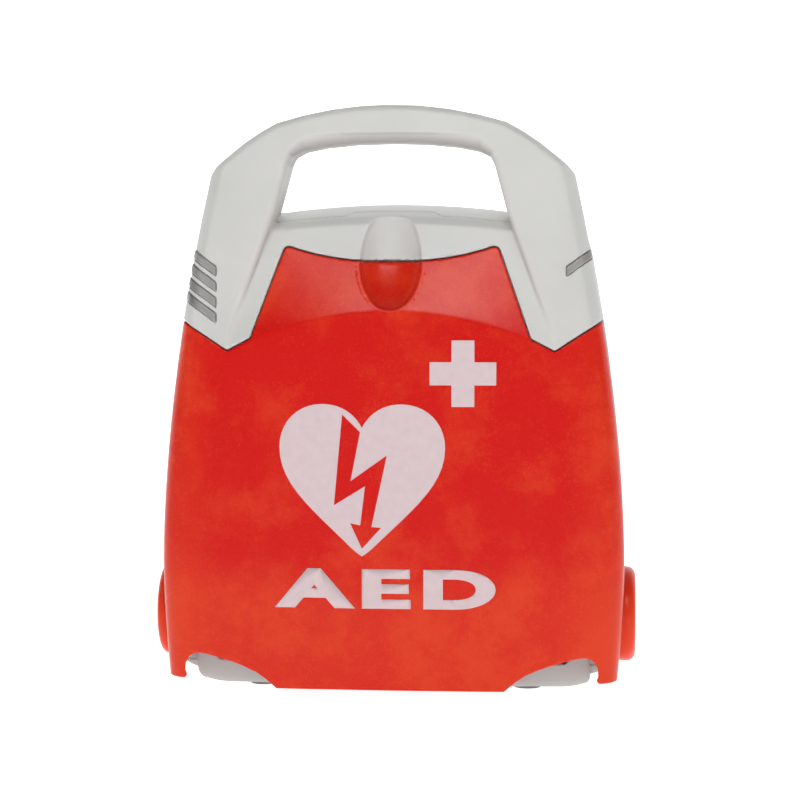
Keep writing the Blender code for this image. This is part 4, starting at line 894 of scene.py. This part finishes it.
INK = finish("dark_ink", (40, 42, 46), (48, 50, 54), 0.5, 200.0, 2500.0, 0.02)
for name, radius, z, rim, foot, tall, look in (
        ("shock_ring", SHOCK_R, SHOCK_Z, 0.0032, 0.0036, 0.0013, ORANGE),
        ("power_ring", POWER_R, POWER_Z, 0.0026, 0.0030, 0.0010, GREEN)):
    hole = radius + 0.0010
    rings = [(hole, 0.0001), (hole, tall), (radius + rim, tall), (radius + foot, 0.0001), (hole, 0.0001)]
    show(turned(name, rings, (PANEL_X, PANEL_FRONT, z)), look, "housing")
cap_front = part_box("shock_button")[0].y
stamped("shock_icon", flat_curve([[(PANEL_X + 0.52 * (x - HEART_X) * 0.62, SHOCK_Z + 0.30 * (z - 0.1110))
                                   for x, z in BOLT]]), WHITE_INK, "shock_button",
        lambda x, z: cap_front + 0.0005 - 0.0003, 0.00010)
arc = ring_loops(PANEL_X - 0.0185, POWER_Z, 0.0030, 0.0023, math.radians(120), math.radians(420))
stamped("power_icon_arc", flat_curve(arc), INK, "housing", panel_face)
left, right, foot, top = PANEL_X - 0.0189, PANEL_X - 0.0181, POWER_Z + 0.0004, POWER_Z + 0.0038
stamped("power_icon_bar", flat_curve([[(left, foot), (right, foot), (right, top), (left, top)]]), INK,
        "housing", panel_face)
for index, (radius, middle) in enumerate(((0.0186, 0), (0.0208, 0), (0.0186, 180), (0.0208, 180))):
    arc = ring_loops(PANEL_X, SOCKET_Z, radius + 0.0008, radius, math.radians(middle - 13),
                     math.radians(middle + 13), 10)
    stamped(f"lead_mark_{index + 1}", flat_curve(arc), INK, "housing", panel_face)
for index, (x, tone) in enumerate(((-0.009, GREEN), (0.0, ORANGE), (0.009, RED))):
    show(turned(f"status_lamp_{index + 1}", [(0.0016, 0.0), (0.0016, 0.0005), (0.0010, 0.0008)],
                (PANEL_X + x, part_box("status_lens")[0].y - 0.00005, LENS_Z), 24), tone, "housing")
for index, (x, z) in enumerate(((-0.0215, -0.0665), (0.0215, -0.0665), (-0.0215, 0.0665), (0.0215, 0.0665))):
    show(turned(f"panel_rivet_{index + 1}", [(0.0015, 0.0), (0.0015, 0.0004), (0.0009, 0.0007)],
                (PANEL_X + x, PANEL_FRONT, PANEL_Z + z), 24), STEEL, "housing")

# Sealed electrode pouch
low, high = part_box("electrode_pouch")


def pouch():
    """A pillow with a flat crimped seam round it, wrinkled where the film is drawn in."""
    cols, rows = 132, 92
    points, back = [], []
    mid, thick = (low.y + high.y) / 2, (high.y - low.y)
    for k in range(rows + 1):
        for i in range(cols + 1):
            u, v = 2 * i / cols - 1, 2 * k / rows - 1
            x = (low.x + high.x) / 2 + u * (high.x - low.x) / 2
            z = (low.z + high.z) / 2 + v * (high.z - low.z) / 2
            seam = min((1 - abs(u)) * 0.065, (1 - abs(v)) * 0.045)
            t = min(1.0, max(0.0, (seam - 0.006) / 0.026))
            puff = (1 - (1 - t) ** 2) ** 0.62
            angle = math.atan2(v, u)
            near = math.exp(-((seam - 0.012) / 0.008) ** 2)
            fold = math.sin(angle * 23 + 2.1 * math.sin(angle * 5)) + 0.5 * math.sin(angle * 41 + 1)
            crease = 0.00055 * near * fold
            dent = 0.0006 * math.sin(u * 3.1 + 0.6 * v) * math.sin(v * 2.7 - 0.4) * t
            crimp = 0.00012 * math.sin(seam * 5200) if seam < 0.005 else 0.0
            half = 0.00035 + (thick / 2 - 0.0013) * puff + crease * 0.8 + dent
            points.append((x, mid - half + crimp, z))
            back.append((x, mid + half * 0.55 + 0.0004 + crimp, z))
    count = len(points)
    faces = []
    for k in range(rows):
        for i in range(cols):
            a = k * (cols + 1) + i
            faces.append((a, a + 1, a + cols + 2, a + cols + 1))
            faces.append((count + a, count + a + cols + 1, count + a + cols + 2, count + a + 1))
    edge = list(range(cols + 1)) + [(k + 1) * (cols + 1) - 1 for k in range(1, rows + 1)]
    edge += [rows * (cols + 1) + i for i in range(cols - 1, -1, -1)]
    edge += [k * (cols + 1) for k in range(rows - 1, 0, -1)]
    for a, b in zip(edge, edge[1:] + edge[:1]):
        faces.append((b, a, count + a, count + b))
    return mesh_piece("pad_pouch", points + back, faces, True)


FOIL = finish("foil_film", (206, 208, 211), (216, 218, 220), 0.30, 45.0, 700.0, 0.05, metal=0.55)
show(pouch(), FOIL, "housing", ("electrode_pouch",))
# Strap over the pouch, with its anchors
WEB = finish("strap_webbing", (38, 39, 42), (56, 57, 60), 0.80, 1400.0, 1600.0, 0.25)
strap_low, strap_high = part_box("pouch_strap")


def strap():
    """A woven ribbon that leaves the deck, crosses the pouch and comes back down."""
    over, deck = strap_low.y + 0.0002, DECK_Y - 0.0014
    line = [(deck, strap_low.z + 0.0002), (deck, strap_low.z + 0.0022)]
    line += [(deck + (over - deck) * step, strap_low.z + 0.0022 + 0.0150 * t)
             for t, step in ((t, t * t * (3 - 2 * t)) for t in np.arange(1, 12) / 12)]
    line += [(over, z) for z in np.linspace(strap_low.z + 0.0180, strap_high.z - 0.0180, 30)]
    line += [(deck + (over - deck) * step, strap_high.z - 0.0022 - 0.0150 * t)
             for t, step in ((t, t * t * (3 - 2 * t)) for t in np.arange(11, 0, -1) / 12)]
    line += [(deck, strap_high.z - 0.0022), (deck, strap_high.z - 0.0002)]
    half, middle = (strap_high.x - strap_low.x) / 2 - 0.0006, (strap_low.x + strap_high.x) / 2
    across = np.linspace(-1.0, 1.0, 17)
    points, faces = [], []
    for k, (y, z) in enumerate(line):
        for u in across:
            rib = 0.00010 * math.cos(u * 8 * math.pi) + 0.00006 * math.cos(k * 2.1)
            points.append((middle + half * u, y + 0.0004 * u * u - rib, z))
    width = len(across)
    for k in range(len(line) - 1):
        for i in range(width - 1):
            a = k * width + i
            faces.append((a, a + 1, a + width + 1, a + width))
    made = mesh_piece("pouch_ribbon", points, faces, True)
    thick = made.modifiers.new("weave", "SOLIDIFY")
    thick.thickness = 0.0009
    thick.offset = 0.0
    return made


show(strap(), WEB, "housing", ("pouch_strap",))
for index, z in enumerate((strap_low.z + 0.0018, strap_high.z - 0.0018)):
    show(turned(f"strap_rivet_{index + 1}", [(0.0021, 0.0), (0.0021, 0.0005), (0.0013, 0.0010)],
                ((strap_low.x + strap_high.x) / 2, DECK_Y - 0.0021, z), 32), STEEL, "housing")


# Button springs, as coils in place of the spring nodes


def coil(name, node, turns=4.0, wire=0.00035):
    low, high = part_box(node)
    centre, radius = (low + high) / 2, (high.x - low.x) / 2 - wire
    steps, sides = int(turns * 36), 10
    points, faces = [], []
    for k in range(steps + 1):
        a = turns * 2 * math.pi * k / steps
        y = low.y + wire * 1.2 + (high.y - low.y - 2.4 * wire) * k / steps
        out = Vector((math.cos(a), 0.0, math.sin(a)))
        for i in range(sides):
            b = 2 * math.pi * i / sides
            spot = Vector((centre.x, y, centre.z)) + out * (radius + wire * math.cos(b))
            points.append(tuple(spot + Vector((0, wire * math.sin(b), 0))))
    for k in range(steps):
        for i in range(sides):
            j = (i + 1) % sides
            faces.append((k * sides + i, k * sides + j, (k + 1) * sides + j, (k + 1) * sides + i))
    faces += [tuple(range(sides))[::-1], tuple(range(steps * sides, (steps + 1) * sides))]
    made = show(mesh_piece(name, points, faces, True), STEEL, "housing", (node,))
    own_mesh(made)


coil("shock_coil", "shock_button_spring")
coil("power_coil", "on_off_button_spring")

# Battery: grip ribs, and the cross slots of the case screws as thin black blocks on the heads, painted shade
# in place of recesses
for index in range(5):
    z = 0.0735 - index * 0.0042
    show(block(f"battery_rib_{index + 1}", (-0.018, 0.0455, z), (0.018, BACK_Y - 0.00002, z + 0.0018),
               0.0005), BATTERY, "battery")
for index, (x, z) in enumerate(CASE_SCREWS):
    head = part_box(f"case_screw_{index + 1}")[1].y
    # Painted shade: a thin black block on each head stands in for its cross recess.
    for part, (a, b) in enumerate(((0.0018, 0.0004), (0.0004, 0.0018))):
        start, end = (x - a, head - 0.0006, z - b), (x + a, head + 0.00003, z + b)
        show(block(f"screw_slot_shade_{index + 1}_{part + 1}", start, end, 0.00005), BLACK, "housing")


# Stage, lights and camera


def aimed(obj, place, target):
    turn = (Vector(target) - Vector(place)).to_track_quat("-Z", "Y")
    obj.matrix_world = Matrix.Translation(place) @ turn.to_matrix().to_4x4()
    SCENE.collection.objects.link(obj)
    return obj


def lamp(name, place, size, power, target=(0.0, 0.0, 0.14), tall=None):
    data = bpy.data.lights.new(name, "AREA")
    data.shape = "RECTANGLE"
    data.size, data.size_y = size, tall or size
    data.energy = power
    return aimed(bpy.data.objects.new(name, data), place, target)


def pale(name, colour, glow):
    made, _, shader = nodes_of(name)
    shader.inputs["Base Color"].default_value = (*colour, 1.0)
    shader.inputs["Roughness"].default_value = 0.9
    shader.inputs["Specular IOR Level"].default_value = 0.1
    shader.inputs["Emission Color"].default_value = (1.0, 1.0, 1.0, 1.0)
    shader.inputs["Emission Strength"].default_value = glow
    return made


def floor_white():
    """A white sweep that glows less just in front of the object, so that the lid has little to mirror."""
    made = pale("backdrop_white", (0.90, 0.90, 0.90), 0.86)
    tree = made.node_tree
    place = parts_of(tree)
    glow = add(tree, "ShaderNodeMath", operation="MAXIMUM")
    for index, (dim, bright) in enumerate(((-0.75, -0.30), (-1.10, -1.70))):
        tree.links.new(ranged(tree, place["Y"], dim, bright, 0.20, 0.86), glow.inputs[index])
    tree.links.new(glow.outputs["Value"], tree.nodes["Principled BSDF"].inputs["Emission Strength"])
    return made


bm = bmesh.new()
bend = 0.35
turns = np.linspace(0, math.pi / 2, 12)
profile = [(-14.0, 0.0)] + [(1.2 + bend * math.sin(a), bend - bend * math.cos(a)) for a in turns]
profile += [(1.2 + bend, 3.0)]
rows = [[bm.verts.new((x, y, z)) for y, z in profile] for x in (-9.0, 9.0)]
for a, b, c, d in zip(rows[0], rows[0][1:], rows[1], rows[1][1:]):
    bm.faces.new((a, c, d, b))
mesh = bpy.data.meshes.new("backdrop")
bm.to_mesh(mesh)
bm.free()
floor = bpy.data.objects.new("backdrop", mesh)
floor.data.materials.append(floor_white())
for face in mesh.polygons:
    face.use_smooth = True
SCENE.collection.objects.link(floor)

world = bpy.data.worlds.new("studio")
world.use_nodes = True
world.node_tree.nodes["Background"].inputs["Color"].default_value = (1.0, 1.0, 1.0, 1.0)
world.node_tree.nodes["Background"].inputs["Strength"].default_value = 0.07
SCENE.world = world
lamp("top_front", (0.05, -1.05, 0.86), 0.72, 6.9, tall=0.20)
lamp("overhead", (0.0, 0.1, 1.5), 1.2, 2.1)
lamp("left", (-1.3, -0.9, 0.55), 0.9, 1.35)
lamp("right", (1.3, -0.9, 0.60), 0.9, 1.2)
SCENE.view_settings.view_transform = "Standard"

azimuth, elevation = math.radians(5.0), math.radians(3.5)
away, target = 1.2, Vector((0.0012, 0.0, 0.1500))
lens = bpy.data.cameras.new("photo_view")
lens.lens = 101.2
lens.sensor_width = 36.0
level = math.cos(elevation)
towards = Vector((math.sin(azimuth) * level, -math.cos(azimuth) * level, math.sin(elevation)))
SCENE.camera = aimed(bpy.data.objects.new("photo_view", lens), target + away * towards, target)

bpy.context.view_layer.update()
